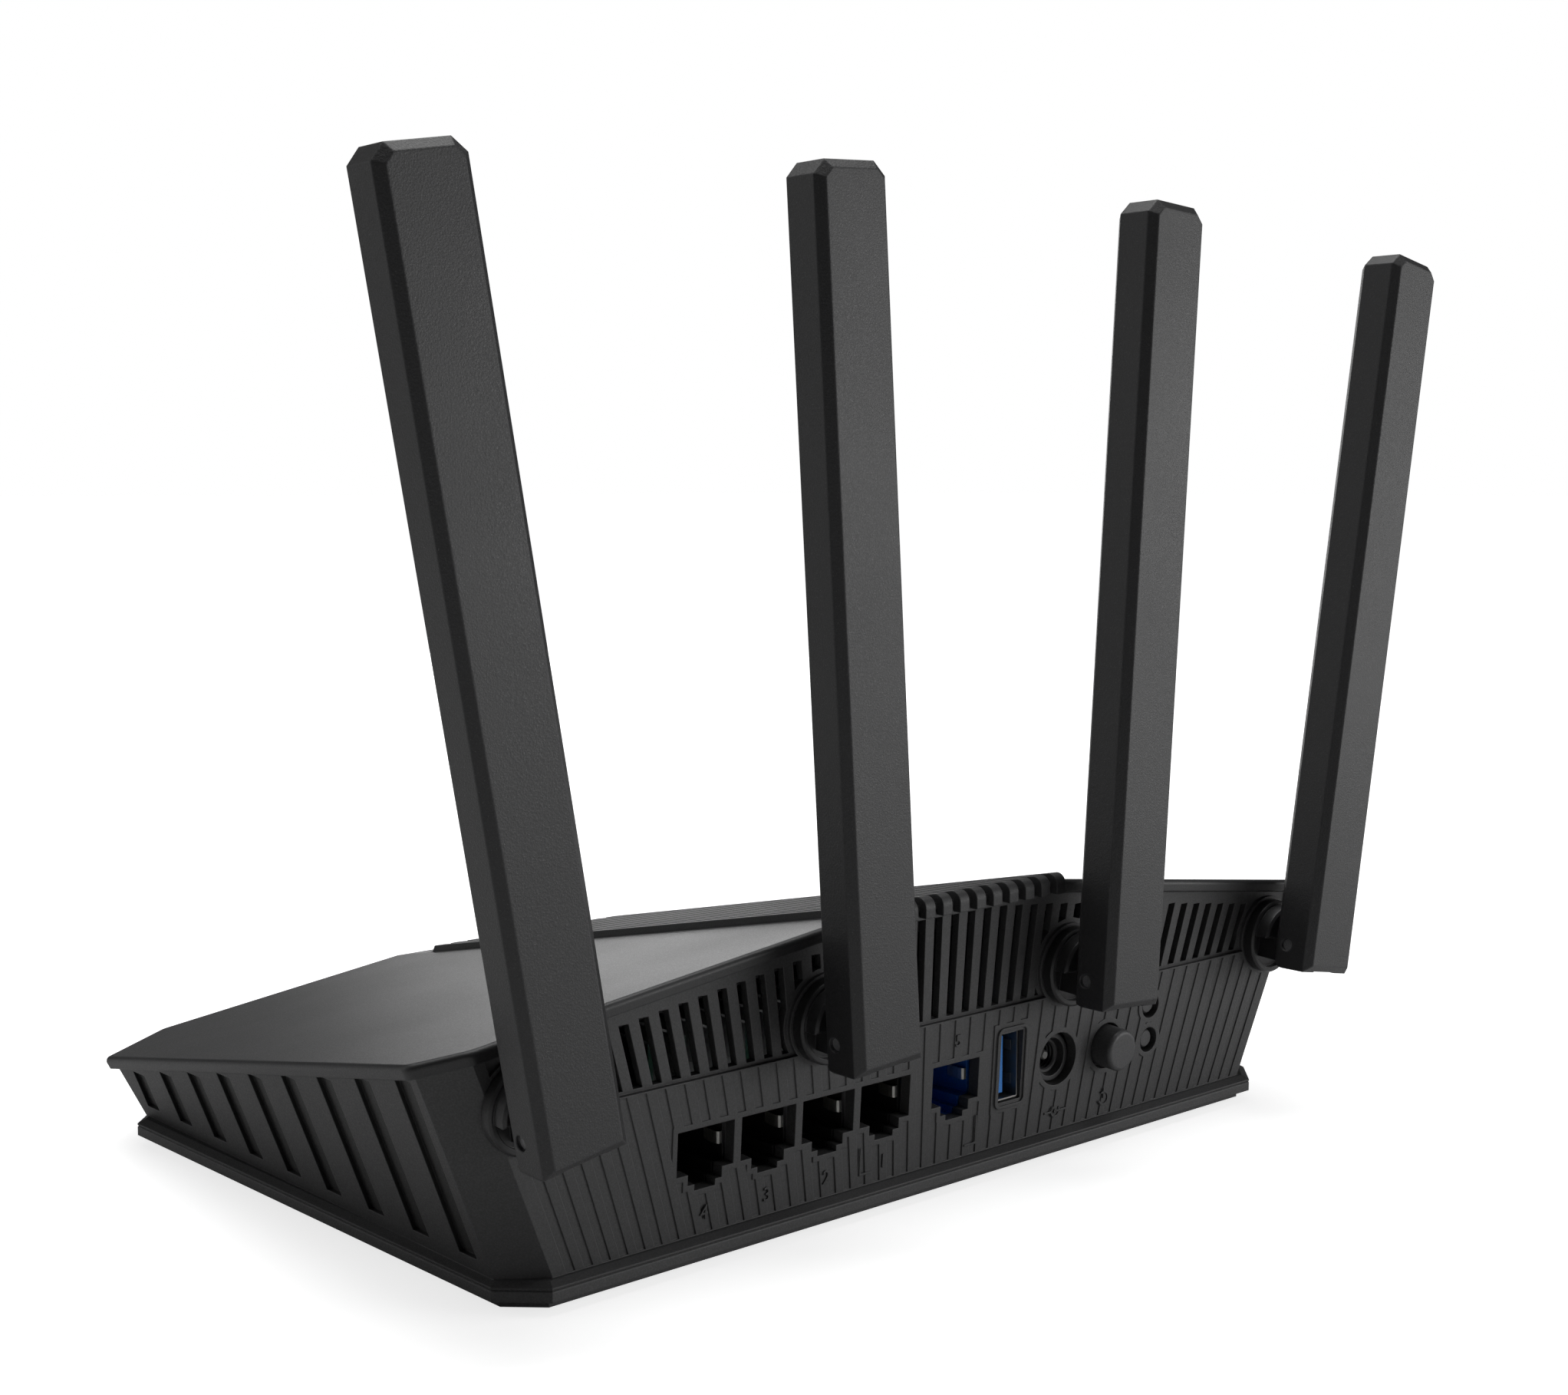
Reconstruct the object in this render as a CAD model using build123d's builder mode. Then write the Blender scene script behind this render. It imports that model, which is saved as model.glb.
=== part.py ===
"""Desktop wireless router: flared vented body on a rimmed tray, a row of ports and four folding aerials.

Row frame: origin at the middle of the router's footprint with the aerials up, at table height.
+Z up, +Y out through the ports, +X to the left as the ports are seen, sizes in mm.
"""

import os
from math import atan, degrees

from build123d import *

os.makedirs("parts", exist_ok=True)

# Tray and rim, half widths and depths of the eight-sided outline
tray_rear_y = 69.0
tray_rear_x = 90.8
tray_side_rear = (98.0, 62.2)
tray_side_front = (102.8, -58.0)
tray_front_x = 81.5
tray_front_y = -81.0
foot_proud = 0.6
tier_top = 2.3
tray_top = 4.2
tier_inset = 2.5
floor_thick = 1.6
rim_edge_top = 4.7
rim_crown = 5.5

# Body walls: bottom corners and how far each leans out per millimetre of height
body_foot = 5.3
body_rear = (89.2, 66.9)
body_side_rear = (96.7, 61.2)
body_side_front = (99.9, -60.1)
body_front = (80.5, -79.2)
side_lean = 0.42
rear_lean = 0.064
front_lean = -0.30
wall = 2.4

# Roof: three flat strips that fall to the front and to the sides
roof_ref_y = 71.0
roof_height = 56.6
roof_fall = 0.215
wing_fall = 0.125
lid_thick = 2.5
lid_overhang = 1.5
lid_corner_r = 2.5
lid_rim_r = 0.9
spine_half = 26.5
spine_sink = 1.4
spine_rise = 1.4
panel_gap = 0.6

# Fan of grooves and slots on the rear panel
fan_depth = 207.0
fan_step = 0.0168
fan_fill = 0.24
fan_count = 24
groove_deep = 0.22
groove_stop = 0.3
grille_foot = 33.0
grille_sink = 0.8
slot_foot = grille_foot + 0.6
slot_below_lid = 2.6
port_margin = 1.0

# Network sockets
jack_pitch = 13.97
jack_left = 64.6
jack_top = 24.4
jack_wide = 12.35
jack_high = 7.8
notch_wide = 7.4
notch_high = 1.9
keyway_wide = 4.5
keyway_high = 1.1
fifth_left = 4.45
jack_wall = 0.8
jack_deep = 15.0
jack_face_y = 64.7

# USB socket, power inlet and push buttons, by centre
usb_x = -16.8
usb_z = 20.9
usb_hole = (6.1, 13.7)
usb_out = (5.7, 13.14)
inlet_x = -30.4
inlet_z = 19.9
inlet_hole_r = 5.3
inlet_bore_r = 2.85
inlet_mouth_r = 3.8
power_x = -44.9
power_z = 20.0
power_hole_r = 4.7
power_r = 4.2
power_proud = 4.4
power_travel = 1.6
small_x = -58.1
wps_z = 26.1
reset_z = 18.9
small_hole_r = 2.6
small_r = 1.85
small_sink = 0.7
small_travel = 0.4

# Vents in the side walls and light windows in the front wall
side_vents = 9
side_vent_step = 14.2
side_vent_first = 60.7
side_vent_deep = 0.8
side_vent_wide = 5.0
side_vent_foot = 8.2
side_vent_slant = 0.145
side_vent_below_lid = 1.0
windows = 6
window_step = 11.0
window_size = (4.0, 1.4)
window_up = 7.0

# Ribbed vent panel on the roof's spine
ribs = 12
rib_step = 4.39
rib_wide = 2.4
rib_front_y = -72.0
tooth_out = 73.7
tooth_in = 71.95
tooth_drop = 2.8
vent_rear_y = 60.0
vent_front_y = 2.0
cells_wide = 2
cells_long = 4
cell_bar = 2.0

# Circuit board and what stands on it
board_half = 78.0
board_front = -56.0
board_rear = 62.4
board_foot = 10.4
board_thick = 1.6

# Aerials
aerial_wide = 15.7
aerial_thick = 9.5
aerial_up = 146.4
aerial_down = 5.0
aerial_back = 3.4
aerial_corner = 2.4
aerial_chamfer = 1.5
aerial_heel = 3.0
sleeve_wall = 1.8
sleeve_tip = 4.4
wire_room = 4.4
pin_out = 10.8
pin_r = 1.1
pin_play = 0.05
disc_r = 7.8
disc_thick = 2.4
disc_play = 0.1
disc_rim = 1.2
disc_sink = 1.1
hood_r = 7.0
hood_out = 5.3
shaft_r = 3.0
shaft_play = 0.08
neck_wide = 7.4
neck_r = 4.4
neck_play = 0.2
outer_x = 95.9
outer_drop = 12.325
inner_x = 32.1
inner_drop = 17.3
outer_fan = 10.1
inner_fan = 3.7

board_top = board_foot + board_thick
rear_steep = (1 + rear_lean**2) ** 0.5
side_steep = (1 + side_lean**2) ** 0.5
roof_steep = (1 + roof_fall**2) ** 0.5


blank_wide = 3 * tray_side_front[0]
blank_deep = -2.8 * tray_front_y
blank_high = 1.4 * roof_height
roof_long = blank_deep


def eight_sided(rear, side_rear, side_front, front):
    """Corner points of an outline that is the same on both sides."""
    right = [rear, side_rear, side_front, front]
    left = [(-x, y) for x, y in reversed(right)]
    return right + left


def wall_plane(start, end, lean, out):
    """Plane of one leaning wall, facing outward and moved out by a distance."""
    along = Vector(end[0] - start[0], end[1] - start[1], 0)
    normal = along.cross(Vector(lean[0], lean[1], 1)).normalized()
    middle = Vector((start[0] + end[0]) / 2, (start[1] + end[1]) / 2, body_foot)
    if normal.dot(Vector(middle.X, middle.Y, 0)) < 0:
        normal = normal * -1
    return Plane(origin=middle + normal * out, z_dir=normal)


def body_planes(out):
    """The eight leaning wall planes."""
    run = Vector(body_side_front[0] - body_side_rear[0], body_side_front[1] - body_side_rear[1], 0)
    slide = (rear_lean - front_lean) / -run.Y
    front_out = side_lean + slide * run.X
    planes = [
        wall_plane(body_rear, (-body_rear[0], body_rear[1]), (0, rear_lean), out),
        wall_plane((-body_front[0], body_front[1]), body_front, (0, front_lean), out),
    ]
    for side in (1, -1):
        corners = [(side * x, y) for x, y in (body_rear, body_side_rear, body_side_front, body_front)]
        planes.append(wall_plane(corners[0], corners[1], (side * side_lean, rear_lean), out))
        planes.append(wall_plane(corners[1], corners[2], (side * side_lean, rear_lean), out))
        planes.append(wall_plane(corners[2], corners[3], (side * front_out, front_lean), out))
    return planes


def roof_at(x, y):
    """Height of the wings' top surface."""
    fall = wing_fall * max(abs(x) - spine_half, 0)
    return roof_height - fall - roof_fall * (roof_ref_y - y)


def rear_face_y(z):
    """Outer face of the rear panel at a height."""
    return body_rear[1] + rear_lean * (z - body_foot)


def roof_band(top, bottom):
    """Closed profile between two depths below the roof, wide enough to be trimmed."""
    far = blank_wide / 2
    low = roof_height - wing_fall * (far - spine_half)
    upper = [(-far, low - top), (-spine_half, roof_height - top), (spine_half, roof_height - top)]
    upper.append((far, low - top))
    lower = [(far, low - bottom), (spine_half, roof_height - bottom)]
    lower += [(-spine_half, roof_height - bottom), (-far, low - bottom)]
    return upper + lower


roof_plane = Plane(origin=(0, roof_ref_y, 0), x_dir=(1, 0, 0), z_dir=(0, -1, 0))
roof_run = Vector(0, -1, -roof_fall)
rear_plane = Plane(
    origin=(0, body_rear[1], body_foot), x_dir=(-1, 0, 0), z_dir=Vector(0, 1, -rear_lean)
)

front_plane = Plane(
    origin=(0, body_front[1], body_foot), x_dir=(1, 0, 0), z_dir=Vector(0, -1, front_lean)
)


def on_rear(x, z):
    """Sketch position on the rear panel of a point of the row."""
    return (-x, (z - body_foot) * rear_steep)


def is_lid_corner(edge):
    """Short upright edge between two outer faces of the roof."""
    return edge.length < 2 * lid_thick


def is_lid_rim(edge):
    """Edge round the outside of the roof's top surface."""
    middle = edge @ 0.5
    on_top = abs(middle.Z - roof_at(middle.X, middle.Y)) < 0.05
    return on_top and abs(abs(middle.X) - spine_half) > 0.1


def side_face(side):
    """Sketch plane on one side wall, its origin at the rear bottom corner."""
    run = Vector(side * (body_side_rear[0] - body_side_front[0]), body_side_rear[1] - body_side_front[1])
    normal = run.cross(Vector(side * side_lean, rear_lean, 1)) * side
    origin = (side * body_side_rear[0], body_side_rear[1], body_foot)
    return Plane(origin=origin, x_dir=run * side, z_dir=normal)


def on_side(side, y, z):
    """Sketch position on a side wall of a point of the row."""
    return (side * (y - body_side_rear[1] - rear_lean * (z - body_foot)), (z - body_foot) * side_steep)


def fan_edge(step, z):
    """Point of one fan line at a height."""
    return on_rear((z + fan_depth) * fan_step * step, z)


def slot_top(step):
    """Height where one grille slot ends, under the roof's edge."""
    x = abs((roof_height + fan_depth) * fan_step * step)
    return roof_at(x, roof_ref_y) - lid_thick - slot_below_lid * min(1, max(0.45, x / spine_half))


def jack_outline(left):
    """Stepped socket mouth, latch side down."""
    middle = left - jack_wide / 2
    low = jack_top - jack_high
    step = low - notch_high
    deep = step - keyway_high
    half = [(jack_wide / 2, jack_top), (jack_wide / 2, low), (notch_wide / 2, low)]
    half += [(notch_wide / 2, step), (keyway_wide / 2, step), (keyway_wide / 2, deep)]
    other = [(-x, z) for x, z in reversed(half)]
    return [(middle + x, z) for x, z in half + other]


jack_lefts = [jack_left - n * jack_pitch for n in range(4)] + [fifth_left]
outer_z = roof_at(outer_x, roof_ref_y) - outer_drop
inner_z = roof_at(inner_x, roof_ref_y) - inner_drop
aerials = [
    ("aerial_1", outer_x, outer_z, outer_fan),
    ("aerial_2", inner_x, inner_z, inner_fan),
    ("aerial_3", -inner_x, inner_z, -inner_fan),
    ("aerial_4", -outer_x, outer_z, -outer_fan),
]
boss_spots = [(84.0, 40.0), (-84.0, 40.0), (84.0, -42.0), (-84.0, -42.0)]
post_spots = [(70.0, 36.0), (-70.0, 36.0), (70.0, -48.0), (-70.0, -48.0)]
foot_spots = [(78.0, 52.0), (-78.0, 52.0), (84.0, -58.0), (-84.0, -58.0)]
foot_r = 6.5
foot_sink = 0.8
boss_r = 3.8
screw_r = 1.5
head_r = 2.9
head_high = 1.2
post_r = 3.0
post_screw_r = 1.2
floor_top = foot_proud + floor_thick

tray_outline = eight_sided(
    (tray_rear_x, tray_rear_y), tray_side_rear, tray_side_front, (tray_front_x, tray_front_y)
)

# Tray: the narrower foot tier under a wider rim, with posts that hold the board
with BuildPart() as base_tray:
    with BuildSketch(Plane.XY.offset(foot_proud)):
        Polygon(*tray_outline, align=None)
        offset(amount=-tier_inset, kind=Kind.INTERSECTION)
    extrude(amount=tier_top - foot_proud)
    with BuildSketch(Plane.XY.offset(tier_top)):
        Polygon(*tray_outline, align=None)
    extrude(amount=tray_top - tier_top)
    chamfer(base_tray.edges().group_by(Axis.Z)[-1], length=0.2)
    with BuildSketch(Plane.XY.offset(floor_top)):
        Polygon(*tray_outline, align=None)
        offset(amount=-9.0, kind=Kind.INTERSECTION)
    extrude(amount=tray_top - floor_top, mode=Mode.SUBTRACT)
    with BuildSketch(Plane.XY.offset(floor_top)):
        with Locations(*post_spots):
            Circle(post_r)
    extrude(amount=board_foot - floor_top)
    with BuildSketch(Plane.XY.offset(board_foot)):
        with Locations(*post_spots):
            Circle(post_screw_r)
    extrude(amount=-6.0, mode=Mode.SUBTRACT)
    with BuildSketch(Plane.XY.offset(foot_proud)):
        with Locations(*foot_spots):
            Circle(foot_r)
    extrude(amount=foot_sink, mode=Mode.SUBTRACT)
    with BuildSketch(Plane.XY.offset(foot_proud)):
        with Locations(*boss_spots):
            Circle(head_r + 0.2)
    extrude(amount=head_high, mode=Mode.SUBTRACT)
    with BuildSketch(Plane.XY.offset(foot_proud)):
        with Locations(*boss_spots):
            Circle(screw_r + 0.15)
    extrude(amount=floor_thick, mode=Mode.SUBTRACT)
base_tray.part.label = "base_tray"
export_step(base_tray.part, "parts/base_tray.step")

# Rubber feet, let into the tray
with BuildPart() as feet:
    with BuildSketch(Plane.XY):
        with Locations(*foot_spots):
            Circle(foot_r)
    extrude(amount=foot_proud + foot_sink)
    chamfer(feet.edges().group_by(Axis.Z)[0], length=0.3)
feet.part.label = "feet"
export_step(feet.part, "parts/feet.step")

# Screws up through the tray into the roof's bosses
with BuildPart() as base_screws:
    with BuildSketch(Plane.XY.offset(foot_proud)):
        with Locations(*boss_spots):
            Circle(head_r)
    extrude(amount=head_high)
    with BuildSketch(Plane.XY.offset(foot_proud)):
        with Locations(*boss_spots):
            Circle(screw_r)
    extrude(amount=10.0)
    with BuildSketch(Plane.XY.offset(foot_proud)):
        with Locations(*boss_spots):
            Rectangle(3.2, 0.7)
            Rectangle(0.7, 3.2)
    extrude(amount=0.6, mode=Mode.SUBTRACT)
base_screws.part.label = "base_screws"
export_step(base_screws.part, "parts/base_screws.step")

# Body: leaning walls on a sloped rim, with the fan relief, grille, vents and port cut-outs
with BuildPart() as body_shell:
    with Locations((0, 0, body_foot - 1)):
        Box(blank_wide, blank_deep, blank_high, align=(Align.CENTER, Align.CENTER, Align.MIN))
    for plane in body_planes(0):
        split(bisect_by=plane, keep=Keep.BOTTOM)
    with BuildSketch(Plane.XY.offset(tray_top)):
        Polygon(*tray_outline, align=None)
    extrude(amount=rim_edge_top - tray_top)
    with BuildSketch(Plane.XY.offset(rim_edge_top)):
        Polygon(*tray_outline, align=None)
    with BuildSketch(Plane.XY.offset(rim_crown)):
        Polygon(*tray_outline, align=None)
        offset(amount=-1.5, kind=Kind.INTERSECTION)
    loft(ruled=True)
    chamfer(body_shell.edges().group_by(Axis.Z)[0], length=0.2)
    with BuildPart(mode=Mode.SUBTRACT):
        with Locations((0, 0, tray_top - 1)):
            Box(blank_wide, blank_deep, blank_high, align=(Align.CENTER, Align.CENTER, Align.MIN))
        for plane in body_planes(-wall):
            split(bisect_by=plane, keep=Keep.BOTTOM)
    with BuildSketch(roof_plane):
        Polygon(*roof_band(lid_thick, -2 * blank_high), align=None)
    extrude(amount=roof_long, dir=roof_run, both=True, mode=Mode.SUBTRACT)
    # the grille stands back from the bands under it
    with BuildSketch(rear_plane):
        Polygon(
            fan_edge(-fan_count - 0.5, grille_foot),
            fan_edge(fan_count + 0.5, grille_foot),
            fan_edge(fan_count + 0.5, roof_height),
            fan_edge(-fan_count - 0.5, roof_height),
            align=None,
        )
        with Locations(*[on_rear(x, z) for name, x, z, fan in aerials]):
            Circle(disc_r + 0.6, mode=Mode.SUBTRACT)
    extrude(amount=-grille_sink, mode=Mode.SUBTRACT)
    # grooves of the fan, kept off the margins round everything set in the panel
    with BuildSketch(rear_plane):
        for step in range(-fan_count, fan_count + 1):
            near, far = step - fan_fill, step + fan_fill
            Polygon(
                fan_edge(near, body_foot + 0.4),
                fan_edge(far, body_foot + 0.4),
                fan_edge(far, grille_foot - groove_stop),
                fan_edge(near, grille_foot - groove_stop),
                align=None,
            )
        for left in jack_lefts:
            mouth = jack_outline(left)
            wide = [x + port_margin * (1 if x > left - jack_wide / 2 else -1) for x, z in mouth]
            high = [z + port_margin * (1 if z == jack_top else -1) for x, z in mouth]
            Polygon(*[on_rear(x, z) for x, z in zip(wide, high)], align=None, mode=Mode.SUBTRACT)
        with Locations(on_rear(usb_x, usb_z)):
            Rectangle(usb_hole[0] + 4.0, usb_hole[1] + 4.0, mode=Mode.SUBTRACT)
        with Locations(on_rear(inlet_x, inlet_z)):
            Circle(inlet_hole_r + port_margin, mode=Mode.SUBTRACT)
        with Locations(on_rear(power_x, power_z)):
            Circle(power_hole_r + port_margin, mode=Mode.SUBTRACT)
        with Locations(on_rear(small_x, wps_z), on_rear(small_x, reset_z)):
            Circle(small_hole_r + port_margin, mode=Mode.SUBTRACT)
        with Locations(*[on_rear(x, z) for name, x, z, fan in aerials]):
            Circle(disc_r + 0.6, mode=Mode.SUBTRACT)
    extrude(amount=-groove_deep, mode=Mode.SUBTRACT)
    # open slots where the grooves run up under the roof
    with BuildSketch(rear_plane):
        for step in range(-fan_count, fan_count + 1):
            near, far = step - fan_fill, step + fan_fill
            Polygon(
                fan_edge(near, slot_foot),
                fan_edge(far, slot_foot),
                fan_edge(far, slot_top(step)),
                fan_edge(near, slot_top(step)),
                align=None,
            )
        with Locations(*[on_rear(x, z) for name, x, z, fan in aerials]):
            Circle(disc_r + 1.4, mode=Mode.SUBTRACT)
    extrude(amount=-wall - 1, mode=Mode.SUBTRACT)
    # raised bead round the upright socket
    with BuildSketch(rear_plane):
        with Locations(on_rear(usb_x, usb_z)):
            RectangleRounded(usb_hole[0] + 2.4, usb_hole[1] + 2.4, 1.6)
            RectangleRounded(usb_hole[0] + 1.2, usb_hole[1] + 1.2, 1.0, mode=Mode.SUBTRACT)
    extrude(amount=0.35)
    # cut-outs
    with BuildSketch(rear_plane):
        for left in jack_lefts:
            Polygon(*[on_rear(x, z) for x, z in jack_outline(left)], align=None)
        with Locations(on_rear(usb_x, usb_z)):
            Rectangle(*usb_hole)
        with Locations(on_rear(inlet_x, inlet_z)):
            Circle(inlet_hole_r)
        with Locations(on_rear(power_x, power_z)):
            Circle(power_hole_r)
        with Locations(on_rear(small_x, wps_z), on_rear(small_x, reset_z)):
            Circle(small_hole_r)
        with Locations(*[on_rear(x, z) for name, x, z, fan in aerials]):
            Circle(shaft_r + shaft_play)
    extrude(amount=-wall - 1, mode=Mode.SUBTRACT)
    # slanted blind vents down both side walls
    for side in (1, -1):
        with BuildSketch(side_face(side)):
            for n in range(side_vents):
                upper_y = side_vent_first - n * side_vent_step
                side_x = body_side_rear[0] + side_lean * 30
                upper_z = roof_at(side_x, upper_y) - lid_thick - side_vent_below_lid
                lower_y = upper_y - side_vent_slant * (upper_z - side_vent_foot)
                half = side_vent_wide / 2
                Polygon(
                    on_side(side, lower_y - half, side_vent_foot),
                    on_side(side, lower_y + half, side_vent_foot),
                    on_side(side, upper_y + half, upper_z),
                    on_side(side, upper_y - half, upper_z),
                    align=None,
                )
        extrude(amount=-side_vent_deep, mode=Mode.SUBTRACT)
    # light windows in the front wall
    with BuildSketch(front_plane):
        with Locations((0, window_up)):
            with GridLocations(window_step, 1, windows, 1):
                Rectangle(*window_size)
    extrude(amount=-wall - 1, mode=Mode.SUBTRACT)
body_shell.part.label = "body_shell"
export_step(body_shell.part, "parts/body_shell.step")

# Roof: two sloping wings, a sunk spine with an air window, a skirt and four screw bosses
window_wide = ribs * rib_step - rib_wide - 2.0
window_long = vent_rear_y - vent_front_y
with BuildPart() as top_cover:
    with BuildSketch(roof_plane.offset(-8)):
        Polygon(*roof_band(-8 * roof_fall, lid_thick - 8 * roof_fall), align=None)
    extrude(amount=roof_long, dir=roof_run)
    for plane in body_planes(lid_overhang):
        split(bisect_by=plane, keep=Keep.BOTTOM)
    fillet(top_cover.edges().filter_by(is_lid_corner), radius=lid_corner_r)
    fillet(top_cover.edges().filter_by(is_lid_rim), radius=lid_rim_r)
    with BuildPart(mode=Mode.ADD):
        with BuildSketch(roof_plane.offset(-8)):
            Polygon(*roof_band(lid_thick - 8 * roof_fall, lid_thick + 3 - 8 * roof_fall), align=None)
        extrude(amount=roof_long, dir=roof_run)
        for plane in body_planes(-wall - 0.15):
            split(bisect_by=plane, keep=Keep.BOTTOM)
        with BuildPart(mode=Mode.SUBTRACT):
            Box(blank_wide, blank_deep, 2 * blank_high)
            for plane in body_planes(-wall - 1.75):
                split(bisect_by=plane, keep=Keep.BOTTOM)
    with BuildSketch(Plane.XY.offset(floor_top)):
        with Locations(*boss_spots):
            Circle(boss_r)
    extrude(until=Until.NEXT, target=top_cover.part)
    with BuildSketch(Plane.XY.offset(floor_top)):
        with Locations(*boss_spots):
            Circle(screw_r)
    extrude(amount=12.0, mode=Mode.SUBTRACT)
    with BuildSketch(roof_plane.offset(-8)):
        with BuildLine():
            Polyline(
                (-spine_half, roof_height + 8 * roof_fall + 5),
                (spine_half, roof_height + 8 * roof_fall + 5),
                (spine_half, roof_height + 8 * roof_fall - spine_sink),
                (-spine_half, roof_height + 8 * roof_fall - spine_sink),
                close=True,
            )
        make_face()
    sunk = (8 + roof_ref_y - rib_front_y + panel_gap) * roof_steep
    extrude(amount=sunk, dir=roof_run, mode=Mode.SUBTRACT)
    with BuildSketch(Plane.XY):
        with Locations((0, (vent_rear_y + vent_front_y) / 2)):
            with GridLocations(window_wide / cells_wide, window_long / cells_long, cells_wide, cells_long):
                Rectangle(window_wide / cells_wide - cell_bar, window_long / cells_long - cell_bar)
    extrude(amount=blank_high, mode=Mode.SUBTRACT)
top_cover.part.label = "top_cover"
export_step(top_cover.part, "parts/top_cover.step")

# Ribbed vent panel whose ribs turn down over the rear edge as teeth
tooth_foot = roof_at(0, tooth_out) - tooth_drop
with BuildPart() as vent_panel:
    with BuildSketch(roof_plane.offset(roof_ref_y - tooth_in)):
        with BuildLine():
            lift = (tooth_in - roof_ref_y) * roof_fall
            edge = spine_half - panel_gap
            Polyline(
                (-edge, roof_height + lift - spine_sink),
                (edge, roof_height + lift - spine_sink),
                (edge, roof_height + lift - 0.3),
                (-edge, roof_height + lift - 0.3),
                close=True,
            )
        make_face()
    extrude(amount=(tooth_in - rib_front_y) * roof_steep, dir=roof_run)
    for n in range(ribs):
        x = (n - (ribs - 1) / 2) * rib_step
        with BuildSketch(Plane.YZ.offset(x)) as rib_side:
            with BuildLine():
                Polyline(
                    (rib_front_y, roof_at(0, rib_front_y) - 0.35),
                    (rib_front_y + 1.2, roof_at(0, rib_front_y + 1.2) + spine_rise),
                    (tooth_out, roof_at(0, tooth_out) + spine_rise),
                    (tooth_out, tooth_foot),
                    (tooth_in, tooth_foot),
                    (tooth_in, roof_at(0, tooth_in) - 0.35),
                    close=True,
                )
            make_face()
            fillet(rib_side.vertices().sort_by(Axis.Y)[-1:], radius=2.0)
        extrude(amount=rib_wide / 2, both=True)
    with BuildSketch(Plane.XY):
        with Locations((0, (vent_rear_y + vent_front_y) / 2)):
            with GridLocations(rib_step, 1, ribs - 1, 1):
                Rectangle(rib_step - rib_wide, vent_rear_y - vent_front_y - 2)
    extrude(amount=blank_high, mode=Mode.SUBTRACT)
vent_panel.part.label = "vent_panel"
export_step(vent_panel.part, "parts/vent_panel.step")

# Circuit board, its screws, the chips and what cools or covers them
with BuildPart() as main_board:
    with BuildSketch(Plane.XY.offset(board_foot)):
        with Locations((0, (board_rear + board_front) / 2)):
            Rectangle(2 * board_half, board_rear - board_front)
        with Locations(*post_spots):
            Circle(post_screw_r + 0.2, mode=Mode.SUBTRACT)
    extrude(amount=board_thick)
main_board.part.label = "main_board"
export_step(main_board.part, "parts/main_board.step")

with BuildPart() as board_screws:
    with BuildSketch(Plane.XY.offset(board_top)):
        with Locations(*post_spots):
            Circle(2.3)
    extrude(amount=1.3)
    chamfer(board_screws.edges().group_by(Axis.Z)[-1], length=0.5)
    with BuildSketch(Plane.XY.offset(board_top)):
        with Locations(*post_spots):
            Circle(post_screw_r)
    extrude(amount=-5.5)
board_screws.part.label = "board_screws"
export_step(board_screws.part, "parts/board_screws.step")

chip_high = 1.4
chip_spots = [(-24.0, 0.0), (4.0, -20.0), (30.0, 2.0)]
chip_wide = 15.0
with BuildPart() as chips:
    with BuildSketch(Plane.XY.offset(board_top)):
        with Locations(*chip_spots):
            Rectangle(chip_wide, chip_wide)
    extrude(amount=chip_high)
chips.part.label = "chips"
export_step(chips.part, "parts/chips.step")

sink_size = (92.0, 52.0)
sink_middle = (3.0, -8.0)
sink_base = 2.4
fins = 12
fin_high = 8.0
fin_thick = 1.2
with BuildPart() as heatsink:
    with BuildSketch(Plane.XY.offset(board_top + chip_high)):
        with Locations(sink_middle):
            Rectangle(*sink_size)
    extrude(amount=sink_base)
    with BuildSketch(Plane.XY.offset(board_top + chip_high + sink_base)):
        with Locations(sink_middle):
            with GridLocations((sink_size[0] - fin_thick) / (fins - 1), 1, fins, 1):
                Rectangle(fin_thick, sink_size[1])
    extrude(amount=fin_high)
heatsink.part.label = "heatsink"
export_step(heatsink.part, "parts/heatsink.step")

can_size = (22.0, 40.0)
can_skin = 0.3
can_gap = 2.0
can_reach = (sink_size[0] + can_size[0]) / 2 + can_gap
with BuildPart() as shield_cans:
    with BuildSketch(Plane.XY.offset(board_top)):
        with Locations((sink_middle[0], sink_middle[1] + 10)):
            with GridLocations(2 * can_reach, 1, 2, 1):
                RectangleRounded(*can_size, 1.0)
    extrude(amount=3.0)
    with BuildSketch(Plane.XY.offset(board_top)):
        with Locations((sink_middle[0], sink_middle[1] + 10)):
            with GridLocations(2 * can_reach, 1, 2, 1):
                Rectangle(can_size[0] - 2 * can_skin, can_size[1] - 2 * can_skin)
    extrude(amount=3.0 - can_skin, mode=Mode.SUBTRACT)
shield_cans.part.label = "shield_cans"
export_step(shield_cans.part, "parts/shield_cans.step")

# Network sockets: a gang of four and a fifth of its own, with contacts and side springs
jack_bottom = jack_top - jack_high - notch_high - keyway_high
jack_cavity = 12.8
for label, lefts in (("lan_jack", jack_lefts[:4]), ("wan_jack", jack_lefts[4:])):
    with BuildPart() as jack:
        right_side = lefts[-1] - jack_wide - jack_wall
        left_side = lefts[0] + jack_wall
        with Locations(((left_side + right_side) / 2, jack_face_y - jack_deep / 2, board_top)):
            Box(
                left_side - right_side,
                jack_deep,
                jack_top + 1.2 - board_top,
                align=(Align.CENTER, Align.CENTER, Align.MIN),
            )
        with BuildSketch(Plane(origin=(0, jack_face_y, 0), x_dir=(-1, 0, 0), z_dir=(0, 1, 0))):
            for left in lefts:
                Polygon(*[(-x, z) for x, z in jack_outline(left)], align=None)
        extrude(amount=-jack_cavity, mode=Mode.SUBTRACT)
    jack.part.label = label
    export_step(jack.part, f"parts/{label}.step")

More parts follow.
